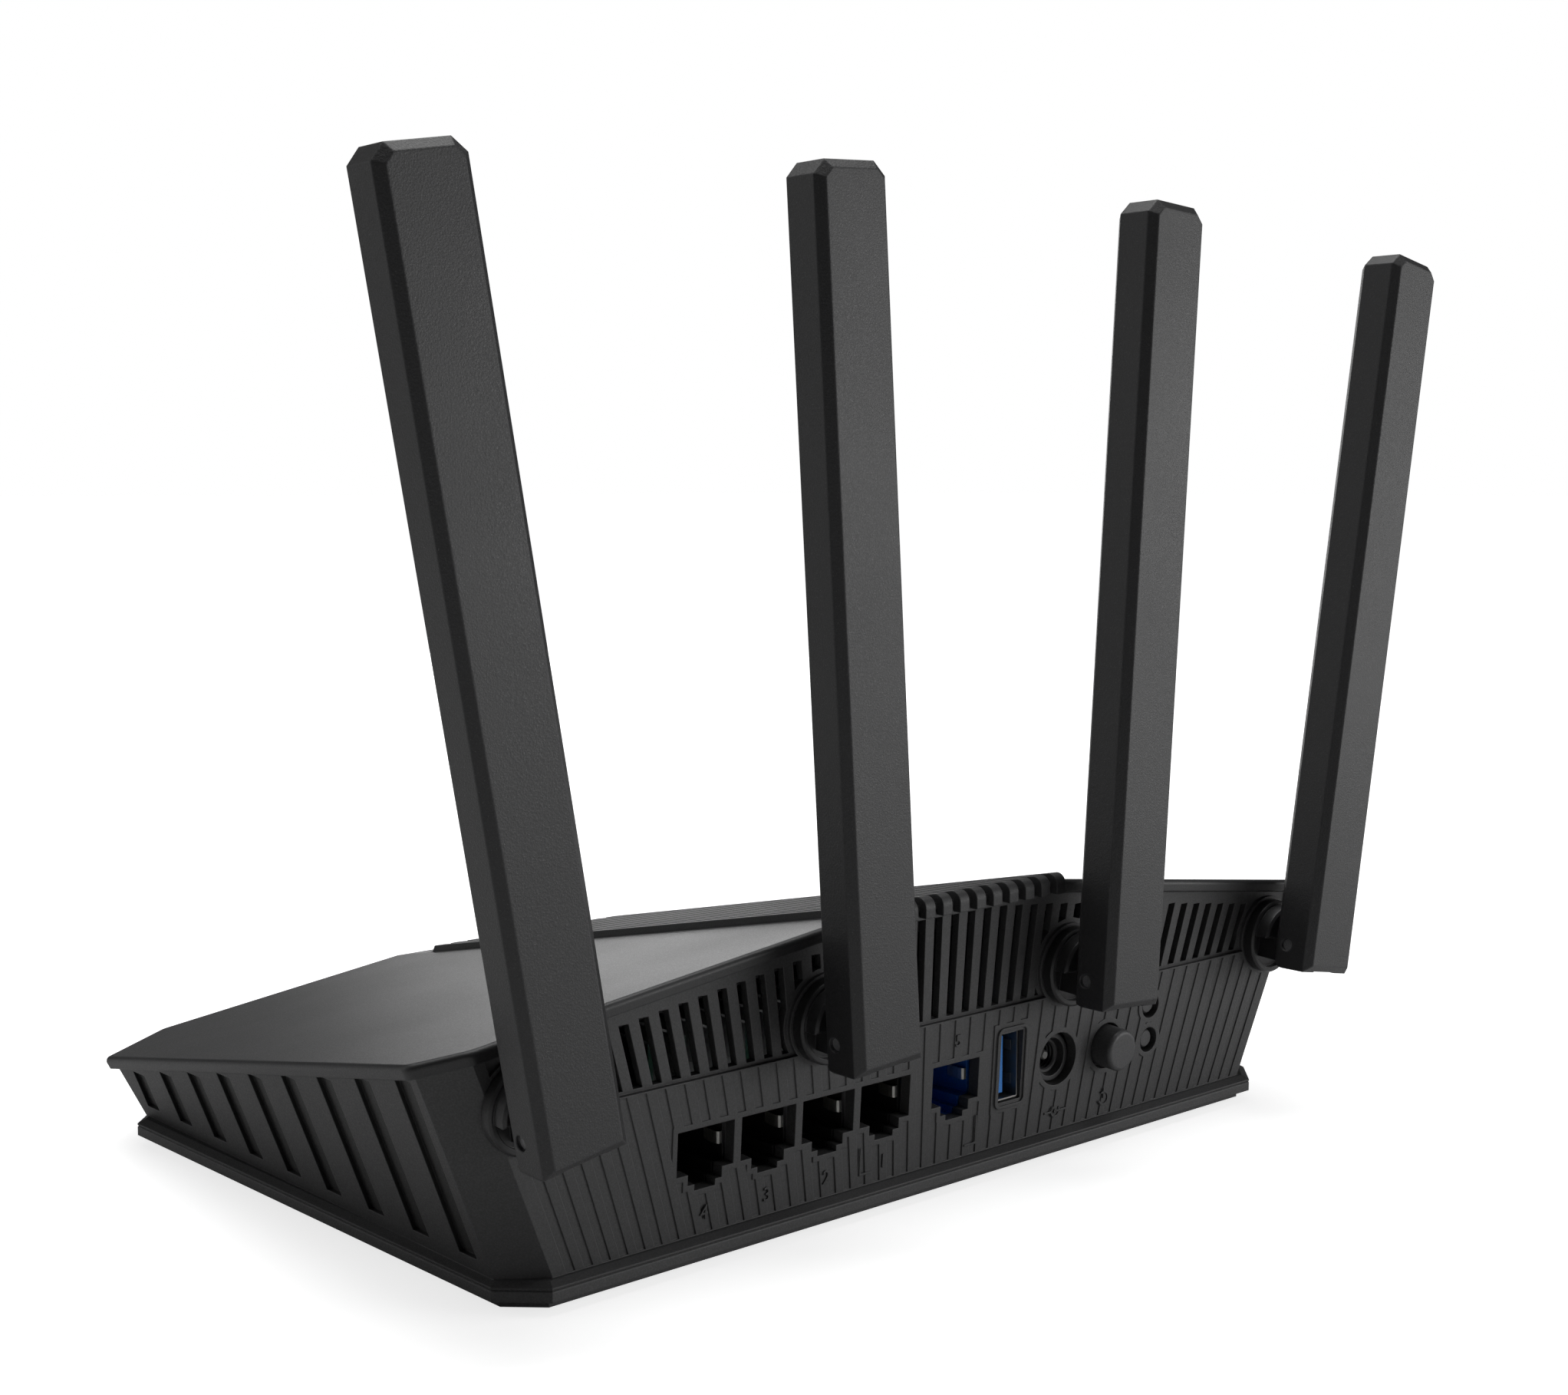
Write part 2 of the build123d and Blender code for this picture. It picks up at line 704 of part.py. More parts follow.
contact_step = 1.02
contact_wide = 0.36
for label, lefts in (("lan_contacts", jack_lefts[:4]), ("wan_contacts", jack_lefts[4:])):
    with BuildPart() as contacts:
        for left in lefts:
            for n in range(8):
                x = left - jack_wide / 2 + (n - 3.5) * contact_step
                with BuildSketch(Plane.YZ.offset(x)):
                    Polygon(
                        (jack_face_y - 1.6, jack_top),
                        (jack_face_y - 2.6, jack_top),
                        (jack_face_y - 10.4, jack_top - 2.1),
                        (jack_face_y - 10.2, jack_top - 2.5),
                        align=None,
                    )
                extrude(amount=contact_wide / 2, both=True)
    contacts.part.label = label
    export_step(contacts.part, f"parts/{label}.step")

spring_size = (0.3, 6.5, 3.4)
with BuildPart() as jack_springs:
    for left in jack_lefts:
        for side in (1, -1):
            x = left - jack_wide / 2 + side * (jack_wide - spring_size[0]) / 2
            with Locations((x, jack_face_y - 5.0, jack_top - 4.2)):
                Box(*spring_size)
jack_springs.part.label = "jack_springs"
export_step(jack_springs.part, "parts/jack_springs.step")

# Upright USB socket: a folded metal shell on two legs and the tongue block in it
usb_skin = 0.3
usb_back_y = 51.5
usb_front_y = 67.0
usb_in = (usb_out[0] - 2 * usb_skin, usb_out[1] - 2 * usb_skin)
tongue_thick = 1.84
tongue_off = 0.72
tongue_long = 14.2
tongue_high = 11.1
with BuildPart() as usb_shell:
    with BuildSketch(Plane(origin=(0, usb_back_y, 0), x_dir=(-1, 0, 0), z_dir=(0, 1, 0))):
        with Locations((-usb_x, usb_z)):
            RectangleRounded(*usb_out, 0.5)
            Rectangle(*usb_in, mode=Mode.SUBTRACT)
    extrude(amount=usb_front_y - usb_back_y)
    with Locations((usb_x, usb_back_y + 5.0, board_top)):
        with GridLocations(usb_out[0] - usb_skin - 1.0, 1, 2, 1):
            Box(
                usb_skin,
                6.0,
                usb_z - usb_out[1] / 2 - board_top + usb_skin,
                align=(Align.CENTER, Align.CENTER, Align.MIN),
            )
usb_shell.part.label = "usb_shell"
export_step(usb_shell.part, "parts/usb_shell.step")

with BuildPart() as usb_tongue:
    with Locations((usb_x, usb_back_y + 1.0, usb_z)):
        Box(usb_in[0], 2.0, usb_in[1])
    tongue_x = usb_x + usb_in[0] / 2 - tongue_off - tongue_thick / 2
    with Locations((tongue_x, usb_back_y, usb_z)):
        Box(tongue_thick, tongue_long, tongue_high, align=(Align.CENTER, Align.MIN, Align.CENTER))
usb_tongue.part.label = "usb_tongue"
export_step(usb_tongue.part, "parts/usb_tongue.step")

# Power inlet: block with a round mouth, centre pin standing in its bore
inlet_face_y = 66.0
inlet_wide = 9.4
with BuildPart() as power_inlet:
    with Locations((inlet_x, jack_face_y, board_top)):
        Box(
            inlet_wide,
            14.0,
            inlet_z + inlet_wide / 2 - board_top,
            align=(Align.CENTER, Align.MAX, Align.MIN),
        )
    with BuildSketch(Plane(origin=(0, jack_face_y, 0), x_dir=(-1, 0, 0), z_dir=(0, 1, 0))):
        with Locations((-inlet_x, inlet_z)):
            Circle(inlet_wide / 2)
    extrude(amount=inlet_face_y - jack_face_y)
    with BuildSketch(Plane(origin=(0, inlet_face_y, 0), x_dir=(-1, 0, 0), z_dir=(0, 1, 0))):
        with Locations((-inlet_x, inlet_z)):
            Circle(inlet_bore_r)
    extrude(amount=-10.5, mode=Mode.SUBTRACT)
    with BuildSketch(Plane(origin=(0, inlet_face_y, 0), x_dir=(-1, 0, 0), z_dir=(0, 1, 0))):
        with Locations((-inlet_x, inlet_z)):
            Circle(inlet_mouth_r)
    extrude(amount=-1.4, taper=20, mode=Mode.SUBTRACT)
power_inlet.part.label = "power_inlet"
export_step(power_inlet.part, "parts/power_inlet.step")

with BuildPart() as inlet_pin:
    with BuildSketch(Plane(origin=(0, inlet_face_y - 10.5, 0), x_dir=(-1, 0, 0), z_dir=(0, 1, 0))):
        with Locations((-inlet_x, inlet_z)):
            Circle(1.0)
    extrude(amount=9.0)
    chamfer(inlet_pin.edges().sort_by(Axis.Y)[-1], length=0.3)
inlet_pin.part.label = "inlet_pin"
export_step(inlet_pin.part, "parts/inlet_pin.step")

# Push buttons, square to the rear panel, their collars resting on its inner face
collar_high = 1.2
with BuildPart() as power_button:
    with BuildSketch(rear_plane.offset(-wall)):
        with Locations(on_rear(power_x, power_z)):
            Circle(power_r)
    extrude(amount=wall + power_proud)
    fillet(power_button.edges().sort_by(Axis.Y)[-1], radius=0.9)
    with BuildSketch(rear_plane.offset(-wall)):
        with Locations(on_rear(power_x, power_z)):
            Circle(power_hole_r + 1.0)
    extrude(amount=-collar_high)
    with BuildSketch(rear_plane.offset(-wall - collar_high)):
        with Locations(on_rear(power_x, power_z)):
            Circle(2.0)
    extrude(amount=-2.0)
power_button.part.label = "power_button"
export_step(power_button.part, "parts/power_button.step")

for label, z in (("wps_button", wps_z), ("reset_button", reset_z)):
    with BuildPart() as small_button:
        with BuildSketch(rear_plane.offset(-wall)):
            with Locations(on_rear(small_x, z)):
                Circle(small_r)
        extrude(amount=wall - small_sink)
        chamfer(small_button.edges().sort_by(Axis.Y)[-1], length=0.3)
        with BuildSketch(rear_plane.offset(-wall)):
            with Locations(on_rear(small_x, z)):
                Circle(small_hole_r + 0.6)
        extrude(amount=-0.8)
        with BuildSketch(rear_plane.offset(-wall - 0.8)):
            with Locations(on_rear(small_x, z)):
                Circle(1.2)
        extrude(amount=-1.2)
    small_button.part.label = label
    export_step(small_button.part, f"parts/{label}.step")

switch_gap = 0.5
with BuildPart() as power_switch:
    face_y = rear_face_y(power_z) - wall - collar_high - 2.0 - power_travel - switch_gap
    with Locations((power_x, face_y, board_top)):
        Box(10.0, 9.0, 14.0, align=(Align.CENTER, Align.MAX, Align.MIN))
power_switch.part.label = "power_switch"
export_step(power_switch.part, "parts/power_switch.step")

with BuildPart() as tact_switches:
    face_y = rear_face_y(reset_z) - wall - 2.0 - small_travel - switch_gap
    with Locations((small_x, face_y, board_top)):
        Box(6.4, 5.0, wps_z + 3.4 - board_top, align=(Align.CENTER, Align.MAX, Align.MIN))
tact_switches.part.label = "tact_switches"
export_step(tact_switches.part, "parts/tact_switches.step")

# Light guides let into the front wall
with BuildPart() as light_guides:
    with BuildSketch(front_plane):
        with Locations((0, window_up)):
            with GridLocations(window_step, 1, windows, 1):
                Rectangle(*window_size)
    extrude(amount=-wall - 4.0)
light_guides.part.label = "light_guides"
export_step(light_guides.part, "parts/light_guides.step")

# Aerials: swivel on the panel, hinge pin, hollow sleeve and the thin board inside it
with BuildPart() as swivel_form:
    with BuildSketch(Plane.XY.offset(disc_play)):
        Circle(disc_r)
    extrude(amount=disc_thick - disc_play)
    chamfer(swivel_form.edges().group_by(Axis.Z)[-1], length=0.4)
    # lower half let in behind its rim, upper half raised as a hood
    with BuildSketch(Plane.XY.offset(disc_thick)):
        Circle(disc_r - disc_rim)
        with Locations((0, disc_r)):
            Rectangle(2 * disc_r, 2 * disc_r, mode=Mode.SUBTRACT)
    extrude(amount=-disc_sink, mode=Mode.SUBTRACT)
    with BuildSketch(Plane.XY.offset(disc_thick - disc_sink)):
        Circle(hood_r)
        with Locations((0, -disc_r)):
            Rectangle(2 * disc_r, 2 * disc_r, mode=Mode.SUBTRACT)
    extrude(amount=hood_out - disc_thick + disc_sink)
    chamfer(swivel_form.edges().group_by(Axis.Z)[-1], length=0.5)
    with BuildSketch(Plane.XY.offset(disc_play)):
        Circle(shaft_r)
    extrude(amount=-wall - 2 * disc_play)
    with BuildSketch(Plane.XY.offset(-wall - disc_play)):
        Circle(shaft_r + 1.4)
    extrude(amount=-1.2)
    with BuildSketch(Plane.YZ):
        with Locations((0, (disc_play + pin_out) / 2)):
            Rectangle(2 * neck_r, pin_out - disc_play)
        with Locations((0, pin_out)):
            Circle(neck_r)
            Circle(pin_r + pin_play, mode=Mode.SUBTRACT)
    extrude(amount=neck_wide / 2, both=True)

with BuildPart() as sleeve_form:
    half = aerial_wide / 2
    with BuildSketch(Plane.XY.offset(-aerial_back)):
        with BuildLine():
            Polyline(
                (-half, -aerial_down),
                (half, -aerial_down),
                (half, aerial_up - aerial_corner),
                (half - aerial_corner, aerial_up),
                (aerial_corner - half, aerial_up),
                (-half, aerial_up - aerial_corner),
                close=True,
            )
        make_face()
    extrude(amount=aerial_thick)
    chamfer(sleeve_form.edges().group_by(Axis.Z)[0], length=aerial_chamfer)
    chamfer(sleeve_form.edges().group_by(Axis.Z)[-1], length=aerial_chamfer)
    # rounded heel that turns past the hood when the aerial folds
    with BuildSketch(Plane.YZ.offset(-half)):
        with Locations((-aerial_down, -aerial_back)):
            Rectangle(aerial_heel, aerial_heel, align=(Align.MIN, Align.MIN))
        with Locations((aerial_heel - aerial_down, aerial_heel - aerial_back)):
            Circle(aerial_heel, mode=Mode.SUBTRACT)
    extrude(amount=aerial_wide, mode=Mode.SUBTRACT)
    # mouth for the knuckle, then the way for the wire and the room for the strip
    mouth_wide = neck_wide + 2 * neck_play
    mouth_reach = neck_r + 2 * neck_play
    with Locations((0, -aerial_down - 1, -aerial_back - 1)):
        Box(
            mouth_wide,
            aerial_down + 1 + mouth_reach,
            aerial_back + 1 + mouth_reach,
            align=(Align.CENTER, Align.MIN, Align.MIN),
            mode=Mode.SUBTRACT,
        )
    middle = aerial_thick / 2 - aerial_back
    room_wide = aerial_wide - 2 * sleeve_wall
    room_thick = aerial_thick - 2 * sleeve_wall
    room_foot = mouth_reach + wire_room
    with Locations((0, mouth_reach, middle)):
        Box(
            mouth_wide,
            wire_room,
            room_thick - sleeve_wall,
            align=(Align.CENTER, Align.MIN, Align.CENTER),
            mode=Mode.SUBTRACT,
        )
    with Locations((0, room_foot, middle)):
        Box(
            room_wide,
            aerial_up - sleeve_tip - room_foot,
            room_thick,
            align=(Align.CENTER, Align.MIN, Align.CENTER),
            mode=Mode.SUBTRACT,
        )
    with BuildSketch(Plane.YZ.offset(-half)):
        Circle(pin_r)
    extrude(amount=aerial_wide, mode=Mode.SUBTRACT)
    for side in (1, -1):
        with BuildSketch(Plane.YZ.offset(side * half)):
            Circle(pin_r + 0.2)
        extrude(amount=-side * 0.6, mode=Mode.SUBTRACT)

with BuildPart() as pin_form:
    with BuildSketch(Plane.YZ):
        Circle(pin_r)
    extrude(amount=aerial_wide / 2 - 0.6, both=True)

strip_foot = 3.0
strip_head = 12.0
with BuildPart() as strip_form:
    with Locations((0, room_foot + strip_foot, middle)):
        Box(
            room_wide,
            aerial_up - sleeve_tip - room_foot - strip_foot - strip_head,
            0.8,
            align=(Align.CENTER, Align.MIN, Align.CENTER),
        )

for label, x, z, fan in aerials:
    stand = rear_plane.location * Location(on_rear(x, z), (0, 0, 1), fan)
    swivel = swivel_form.part.moved(stand)
    swivel.label = label + "_swivel"
    export_step(swivel, f"parts/{label}_swivel.step")
    upright = stand * Location((0, 0, pin_out), (-degrees(atan(rear_lean)), 0, 0))
    for suffix, form in (("sleeve", sleeve_form), ("pin", pin_form), ("strip", strip_form)):
        piece = form.part.moved(upright)
        piece.label = label + "_" + suffix
        export_step(piece, f"parts/{label}_{suffix}.step")
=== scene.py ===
import math

import bpy
from mathutils import Matrix, Vector


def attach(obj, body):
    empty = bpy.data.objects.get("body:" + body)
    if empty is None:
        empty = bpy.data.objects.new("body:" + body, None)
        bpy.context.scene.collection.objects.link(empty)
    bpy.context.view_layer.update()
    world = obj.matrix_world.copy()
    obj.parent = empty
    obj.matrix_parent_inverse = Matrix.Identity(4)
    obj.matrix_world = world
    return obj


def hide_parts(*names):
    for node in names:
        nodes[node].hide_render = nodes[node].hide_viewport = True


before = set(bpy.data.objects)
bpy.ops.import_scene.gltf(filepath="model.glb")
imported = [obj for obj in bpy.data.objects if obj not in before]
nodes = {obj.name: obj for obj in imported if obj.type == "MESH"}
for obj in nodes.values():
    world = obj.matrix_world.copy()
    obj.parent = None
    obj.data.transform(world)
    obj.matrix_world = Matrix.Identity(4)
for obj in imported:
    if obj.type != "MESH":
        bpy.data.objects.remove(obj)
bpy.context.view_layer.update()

link = bpy.context.scene.collection.objects.link

# Camera: it stands behind the router, a little above it and to the first socket's side, and looks
# almost level across the rear panel.
tilt, heading = math.radians(84.537), math.radians(138.893)
view = bpy.data.cameras.new("view")
view.lens = 48.78
view.sensor_width = 36.0
view.shift_x = 0.0009
view.shift_y = -0.0070
view.clip_start = 0.01
camera = bpy.data.objects.new("camera", view)
camera.location = (0.27838, 0.33961, 0.13220)
camera.rotation_euler = (tilt, 0, heading)
link(camera)
bpy.context.scene.camera = camera

# Studio: a white paper floor under soft boxes. Two light the socket side, one the narrow faces and one
# the whole from above, and two low cards behind shine along the roof. Nothing stands where the camera
# is, so edges that face it stay dark.
sweep_near, sweep_far = 0.25, 1.0
floor_glow, world_light = 0.76, 0.03
bpy.ops.object.select_all(action="DESELECT")
bpy.ops.mesh.primitive_plane_add(size=40.0, location=(0, 0, 0))
floor = bpy.context.object
floor.name = "floor"
paper = bpy.data.materials.new("studio_paper")
paper.use_nodes = True
sheet = paper.node_tree.nodes["Principled BSDF"]
sheet.inputs["Base Color"].default_value = (0.75, 0.75, 0.75, 1)
sheet.inputs["Roughness"].default_value = 0.9
sheet.inputs["Specular IOR Level"].default_value = 0.1
sheet.inputs["Emission Color"].default_value = (1, 1, 1, 1)
seen = paper.node_tree.nodes.new("ShaderNodeLightPath")
spot = paper.node_tree.nodes.new("ShaderNodeTexCoord")
far = paper.node_tree.nodes.new("ShaderNodeVectorMath")
far.operation = "LENGTH"
sweep = paper.node_tree.nodes.new("ShaderNodeMapRange")
sweep.inputs["From Min"].default_value = sweep_near
sweep.inputs["From Max"].default_value = sweep_far
sweep.inputs["To Min"].default_value = floor_glow
sweep.inputs["To Max"].default_value = 1.0
glow = paper.node_tree.nodes.new("ShaderNodeMath")
glow.operation = "MULTIPLY"
paper.node_tree.links.new(spot.outputs["Object"], far.inputs[0])
paper.node_tree.links.new(far.outputs["Value"], sweep.inputs["Value"])
paper.node_tree.links.new(seen.outputs["Is Camera Ray"], glow.inputs[0])
paper.node_tree.links.new(sweep.outputs["Result"], glow.inputs[1])
paper.node_tree.links.new(glow.outputs[0], sheet.inputs["Emission Strength"])
floor.data.materials.append(paper)

world = bpy.data.worlds.new("studio")
bpy.context.scene.world = world
world.use_nodes = True
sky = world.node_tree.nodes["Background"]
sky.inputs["Color"].default_value = (1, 1, 1, 1)
ray = world.node_tree.nodes.new("ShaderNodeLightPath")
level = world.node_tree.nodes.new("ShaderNodeMapRange")
level.inputs["To Min"].default_value = world_light
level.inputs["To Max"].default_value = 1.0
world.node_tree.links.new(ray.outputs["Is Camera Ray"], level.inputs["Value"])
world.node_tree.links.new(level.outputs["Result"], sky.inputs["Strength"])


def soft_box(name, place, aim, size, power):
    """A lamp of size at place that faces aim, and that the camera doesn't see."""
    lamp = bpy.data.lights.new(name, "AREA")
    lamp.shape = "RECTANGLE"
    lamp.size, lamp.size_y = size
    lamp.energy = power
    box = bpy.data.objects.new(name, lamp)
    box.location = place
    box.rotation_euler = (Vector(aim) - Vector(place)).to_track_quat("-Z", "Y").to_euler()
    box.visible_camera = False
    link(box)


soft_box("top_box", (-0.1, -0.2, 1.2), (0, 0, 0), (1.2, 1.0), 11.5)
soft_box("socket_box", (-0.75, 0.85, 0.55), (0, 0.05, 0.10), (0.9, 0.7), 2.4)
soft_box("low_box", (-0.65, 0.85, 0.12), (0, 0.05, 0.06), (0.9, 0.22), 2.9)
soft_box("narrow_box", (0.85, -0.75, 0.45), (0, 0.05, 0.10), (0.9, 0.8), 1.6)
soft_box("roof_card", (-0.66, -1.05, 0.22), (0.03, 0.03, 0.04), (0.4, 0.4), 1.05)
soft_box("roof_end_card", (-0.80, -0.95, 0.22), (0.03, 0.03, 0.04), (0.4, 0.4), 0.32)
bpy.context.scene.view_settings.view_transform = "Standard"


# Tray: the lower half of the case, moulded in black plastic, with the board's posts inside. The
# mould is spark eroded, which leaves an even grain, and the edges come out with a small radius.
def mould_grain():
    """Pits of a spark-eroded mould, Size to a metre: their height, and a mask of their rims."""
    group = bpy.data.node_groups.new("mould_grain", "ShaderNodeTree")
    group.interface.new_socket("Size", in_out="INPUT", socket_type="NodeSocketFloat")
    group.interface.new_socket("Height", in_out="OUTPUT", socket_type="NodeSocketFloat")
    group.interface.new_socket("Rims", in_out="OUTPUT", socket_type="NodeSocketFloat")
    entry = group.nodes.new("NodeGroupInput")
    out = group.nodes.new("NodeGroupOutput")
    place = group.nodes.new("ShaderNodeTexCoord")
    fine = group.nodes.new("ShaderNodeTexNoise")
    fine.inputs["Detail"].default_value = 3.0
    fine.inputs["Roughness"].default_value = 0.6
    pits = group.nodes.new("ShaderNodeTexVoronoi")
    coarser = group.nodes.new("ShaderNodeMath")
    coarser.operation = "MULTIPLY"
    coarser.inputs[1].default_value = 0.55
    both = group.nodes.new("ShaderNodeMath")
    both.operation = "MULTIPLY"
    rims = group.nodes.new("ShaderNodeMapRange")
    rims.inputs["From Min"].default_value = 0.42
    rims.inputs["From Max"].default_value = 0.72
    wire = group.links.new
    wire(place.outputs["Object"], fine.inputs["Vector"])
    wire(place.outputs["Object"], pits.inputs["Vector"])
    wire(entry.outputs["Size"], fine.inputs["Scale"])
    wire(entry.outputs["Size"], coarser.inputs[0])
    wire(coarser.outputs[0], pits.inputs["Scale"])
    wire(fine.outputs["Fac"], both.inputs[0])
    wire(pits.outputs["Distance"], both.inputs[1])
    wire(both.outputs[0], out.inputs["Height"])
    wire(fine.outputs["Fac"], rims.inputs["Value"])
    wire(rims.outputs["Result"], out.inputs["Rims"])
    return group


def soft_edges():
    """Edges of Radius: the normal that rounds them off, and a mask of the edges, where a highlight is
    painted.
    """
    group = bpy.data.node_groups.new("soft_edges", "ShaderNodeTree")
    group.interface.new_socket("Radius", in_out="INPUT", socket_type="NodeSocketFloat")
    group.interface.new_socket("Normal", in_out="OUTPUT", socket_type="NodeSocketVector")
    group.interface.new_socket("Edge highlight", in_out="OUTPUT", socket_type="NodeSocketFloat")
    entry = group.nodes.new("NodeGroupInput")
    out = group.nodes.new("NodeGroupOutput")
    rounded = group.nodes.new("ShaderNodeBevel")
    rounded.samples = 6
    flat = group.nodes.new("ShaderNodeNewGeometry")
    turn = group.nodes.new("ShaderNodeVectorMath")
    turn.operation = "DOT_PRODUCT"
    edge_highlight = group.nodes.new("ShaderNodeMapRange")
    edge_highlight.inputs["From Min"].default_value = 0.995
    edge_highlight.inputs["From Max"].default_value = 0.90
    wire = group.links.new
    wire(entry.outputs["Radius"], rounded.inputs["Radius"])
    wire(rounded.outputs["Normal"], turn.inputs[0])
    wire(flat.outputs["Normal"], turn.inputs[1])
    wire(turn.outputs["Value"], edge_highlight.inputs["Value"])
    wire(rounded.outputs["Normal"], out.inputs["Normal"])
    wire(edge_highlight.outputs["Result"], out.inputs["Edge highlight"])
    return group


def handled_haze():
    """Broad, faint patches where a smooth or matt film lies: a mask."""
    group = bpy.data.node_groups.new("handled_haze", "ShaderNodeTree")
    group.interface.new_socket("Haze", in_out="OUTPUT", socket_type="NodeSocketFloat")
    out = group.nodes.new("NodeGroupOutput")
    place = group.nodes.new("ShaderNodeTexCoord")
    cloud = group.nodes.new("ShaderNodeTexNoise")
    cloud.inputs["Scale"].default_value = 24.0
    cloud.inputs["Detail"].default_value = 4.0
    group.links.new(place.outputs["Object"], cloud.inputs["Vector"])
    group.links.new(cloud.outputs["Fac"], out.inputs["Haze"])
    return group


grain_nodes = mould_grain()
edge_nodes = soft_edges()
haze_nodes = handled_haze()


def moulded_plastic(
    name, colour, rough=0.5, pit_size=3200.0, pit_depth=0.00004, radius=0.0003, edge_highlight=1.35, painted_glints=0.0
):
    """Grained plastic in colour: pits of pit_size to a metre, a painted glint on their rims and a painted
    highlight along the edges.
    """
    plastic = bpy.data.materials.new(name)
    plastic.use_nodes = True
    tree = plastic.node_tree
    skin = tree.nodes["Principled BSDF"]
    pits = tree.nodes.new("ShaderNodeGroup")
    pits.node_tree = grain_nodes
    pits.inputs["Size"].default_value = pit_size
    edge = tree.nodes.new("ShaderNodeGroup")
    edge.node_tree = edge_nodes
    edge.inputs["Radius"].default_value = radius
    haze = tree.nodes.new("ShaderNodeGroup")
    haze.node_tree = haze_nodes
    tint = tree.nodes.new("ShaderNodeMix")
    tint.data_type = "RGBA"
    tint.inputs["A"].default_value = (*[c * 0.84 for c in colour], 1)
    tint.inputs["B"].default_value = (*[min(1.0, c * 1.2) for c in colour], 1)
    # painted highlight: the highest pit rims are mixed to pale grey as glints
    painted_glint = tree.nodes.new("ShaderNodeMapRange")
    painted_glint.inputs["From Min"].default_value = 0.80
    painted_glint.inputs["To Max"].default_value = painted_glints
    glinting_rims = tree.nodes.new("ShaderNodeMix")
    glinting_rims.data_type = "RGBA"
    glinting_rims.inputs["B"].default_value = (0.30, 0.30, 0.30, 1)
    # painted highlight: the edges are mixed to a paler colour
    highlighted = tree.nodes.new("ShaderNodeMix")
    highlighted.data_type = "RGBA"
    highlighted.inputs["B"].default_value = (*[min(1.0, c * edge_highlight) for c in colour], 1)
    pitted = tree.nodes.new("ShaderNodeMapRange")
    pitted.inputs["To Min"].default_value = rough + 0.07
    pitted.inputs["To Max"].default_value = rough - 0.05
    film = tree.nodes.new("ShaderNodeMath")
    film.operation = "MULTIPLY_ADD"
    film.inputs[1].default_value = 0.12
    gloss = tree.nodes.new("ShaderNodeMath")
    gloss.operation = "SUBTRACT"
    gloss.inputs[1].default_value = 0.06
    bump = tree.nodes.new("ShaderNodeBump")
    bump.inputs["Strength"].default_value = 0.6
    bump.inputs["Distance"].default_value = pit_depth
    wire = tree.links.new
    wire(pits.outputs["Rims"], tint.inputs["Factor"])
    wire(pits.outputs["Rims"], painted_glint.inputs["Value"])
    wire(painted_glint.outputs["Result"], glinting_rims.inputs["Factor"])
    wire(tint.outputs["Result"], glinting_rims.inputs["A"])
    wire(glinting_rims.outputs["Result"], highlighted.inputs["A"])
    wire(edge.outputs["Edge highlight"], highlighted.inputs["Factor"])
    wire(highlighted.outputs["Result"], skin.inputs["Base Color"])
    wire(pits.outputs["Rims"], pitted.inputs["Value"])
    wire(haze.outputs["Haze"], film.inputs[0])
    wire(pitted.outputs["Result"], film.inputs[2])
    wire(film.outputs[0], gloss.inputs[0])
    wire(gloss.outputs[0], skin.inputs["Roughness"])
    wire(pits.outputs["Height"], bump.inputs["Height"])
    wire(edge.outputs["Normal"], bump.inputs["Normal"])
    wire(bump.outputs["Normal"], skin.inputs["Normal"])
    return plastic


def finish_with(material, *names):
    """These CAD nodes take the material."""
    for name in names:
        nodes[name].data.materials.clear()
        nodes[name].data.materials.append(material)


# The tray's colour is paler than the walls', a painted reflection of the bright floor on its outer face.
finish_with(moulded_plastic("tray_black_painted_reflection", (0.062, 0.062, 0.063)), "base_tray")

# Feet: four round pads of soft black rubber, pressed and glued into the tray's sinks. Rubber takes
# up a little dust, so it is greyer and quite matt.
foot_rubber = moulded_plastic(
    "foot_rubber", (0.030, 0.030, 0.031), rough=0.85, pit_size=1500.0, pit_depth=0.00008
)
finish_with(foot_rubber, "feet")


# Board: glass-fibre laminate under green solder mask, with copper tracks that show through it as
# paler lines. It is screwed to the tray's posts.
def solder_mask(name, colour, track):
    """Laminate under solder mask in colour, with tracks of the other colour under it."""
    mask = bpy.data.materials.new(name)
    mask.use_nodes = True
    tree = mask.node_tree
    skin = tree.nodes["Principled BSDF"]
    skin.inputs["Coat Weight"].default_value = 0.4
    skin.inputs["Coat Roughness"].default_value = 0.2
    place = tree.nodes.new("ShaderNodeTexCoord")
    routes = tree.nodes.new("ShaderNodeTexBrick")
    routes.inputs["Scale"].default_value = 90.0
    routes.inputs["Mortar Size"].default_value = 0.06
    routes.inputs["Color1"].default_value = (*colour, 1)
    routes.inputs["Color2"].default_value = (*[c * 0.8 for c in colour], 1)
    routes.inputs["Mortar"].default_value = (*track, 1)
    weave = tree.nodes.new("ShaderNodeTexNoise")
    weave.inputs["Scale"].default_value = 900.0
    dull = tree.nodes.new("ShaderNodeMapRange")
    dull.inputs["To Min"].default_value = 0.3
    dull.inputs["To Max"].default_value = 0.5
    bump = tree.nodes.new("ShaderNodeBump")
    bump.inputs["Distance"].default_value = 0.00003
    wire = tree.links.new
    wire(place.outputs["Object"], routes.inputs["Vector"])
    wire(place.outputs["Object"], weave.inputs["Vector"])
    wire(routes.outputs["Color"], skin.inputs["Base Color"])
    wire(weave.outputs["Fac"], dull.inputs["Value"])
    wire(dull.outputs["Result"], skin.inputs["Roughness"])
    wire(routes.outputs["Fac"], bump.inputs["Height"])
    wire(bump.outputs["Normal"], skin.inputs["Normal"])
    return mask


finish_with(solder_mask("board_green", (0.015, 0.10, 0.045), (0.04, 0.19, 0.08)), "main_board")


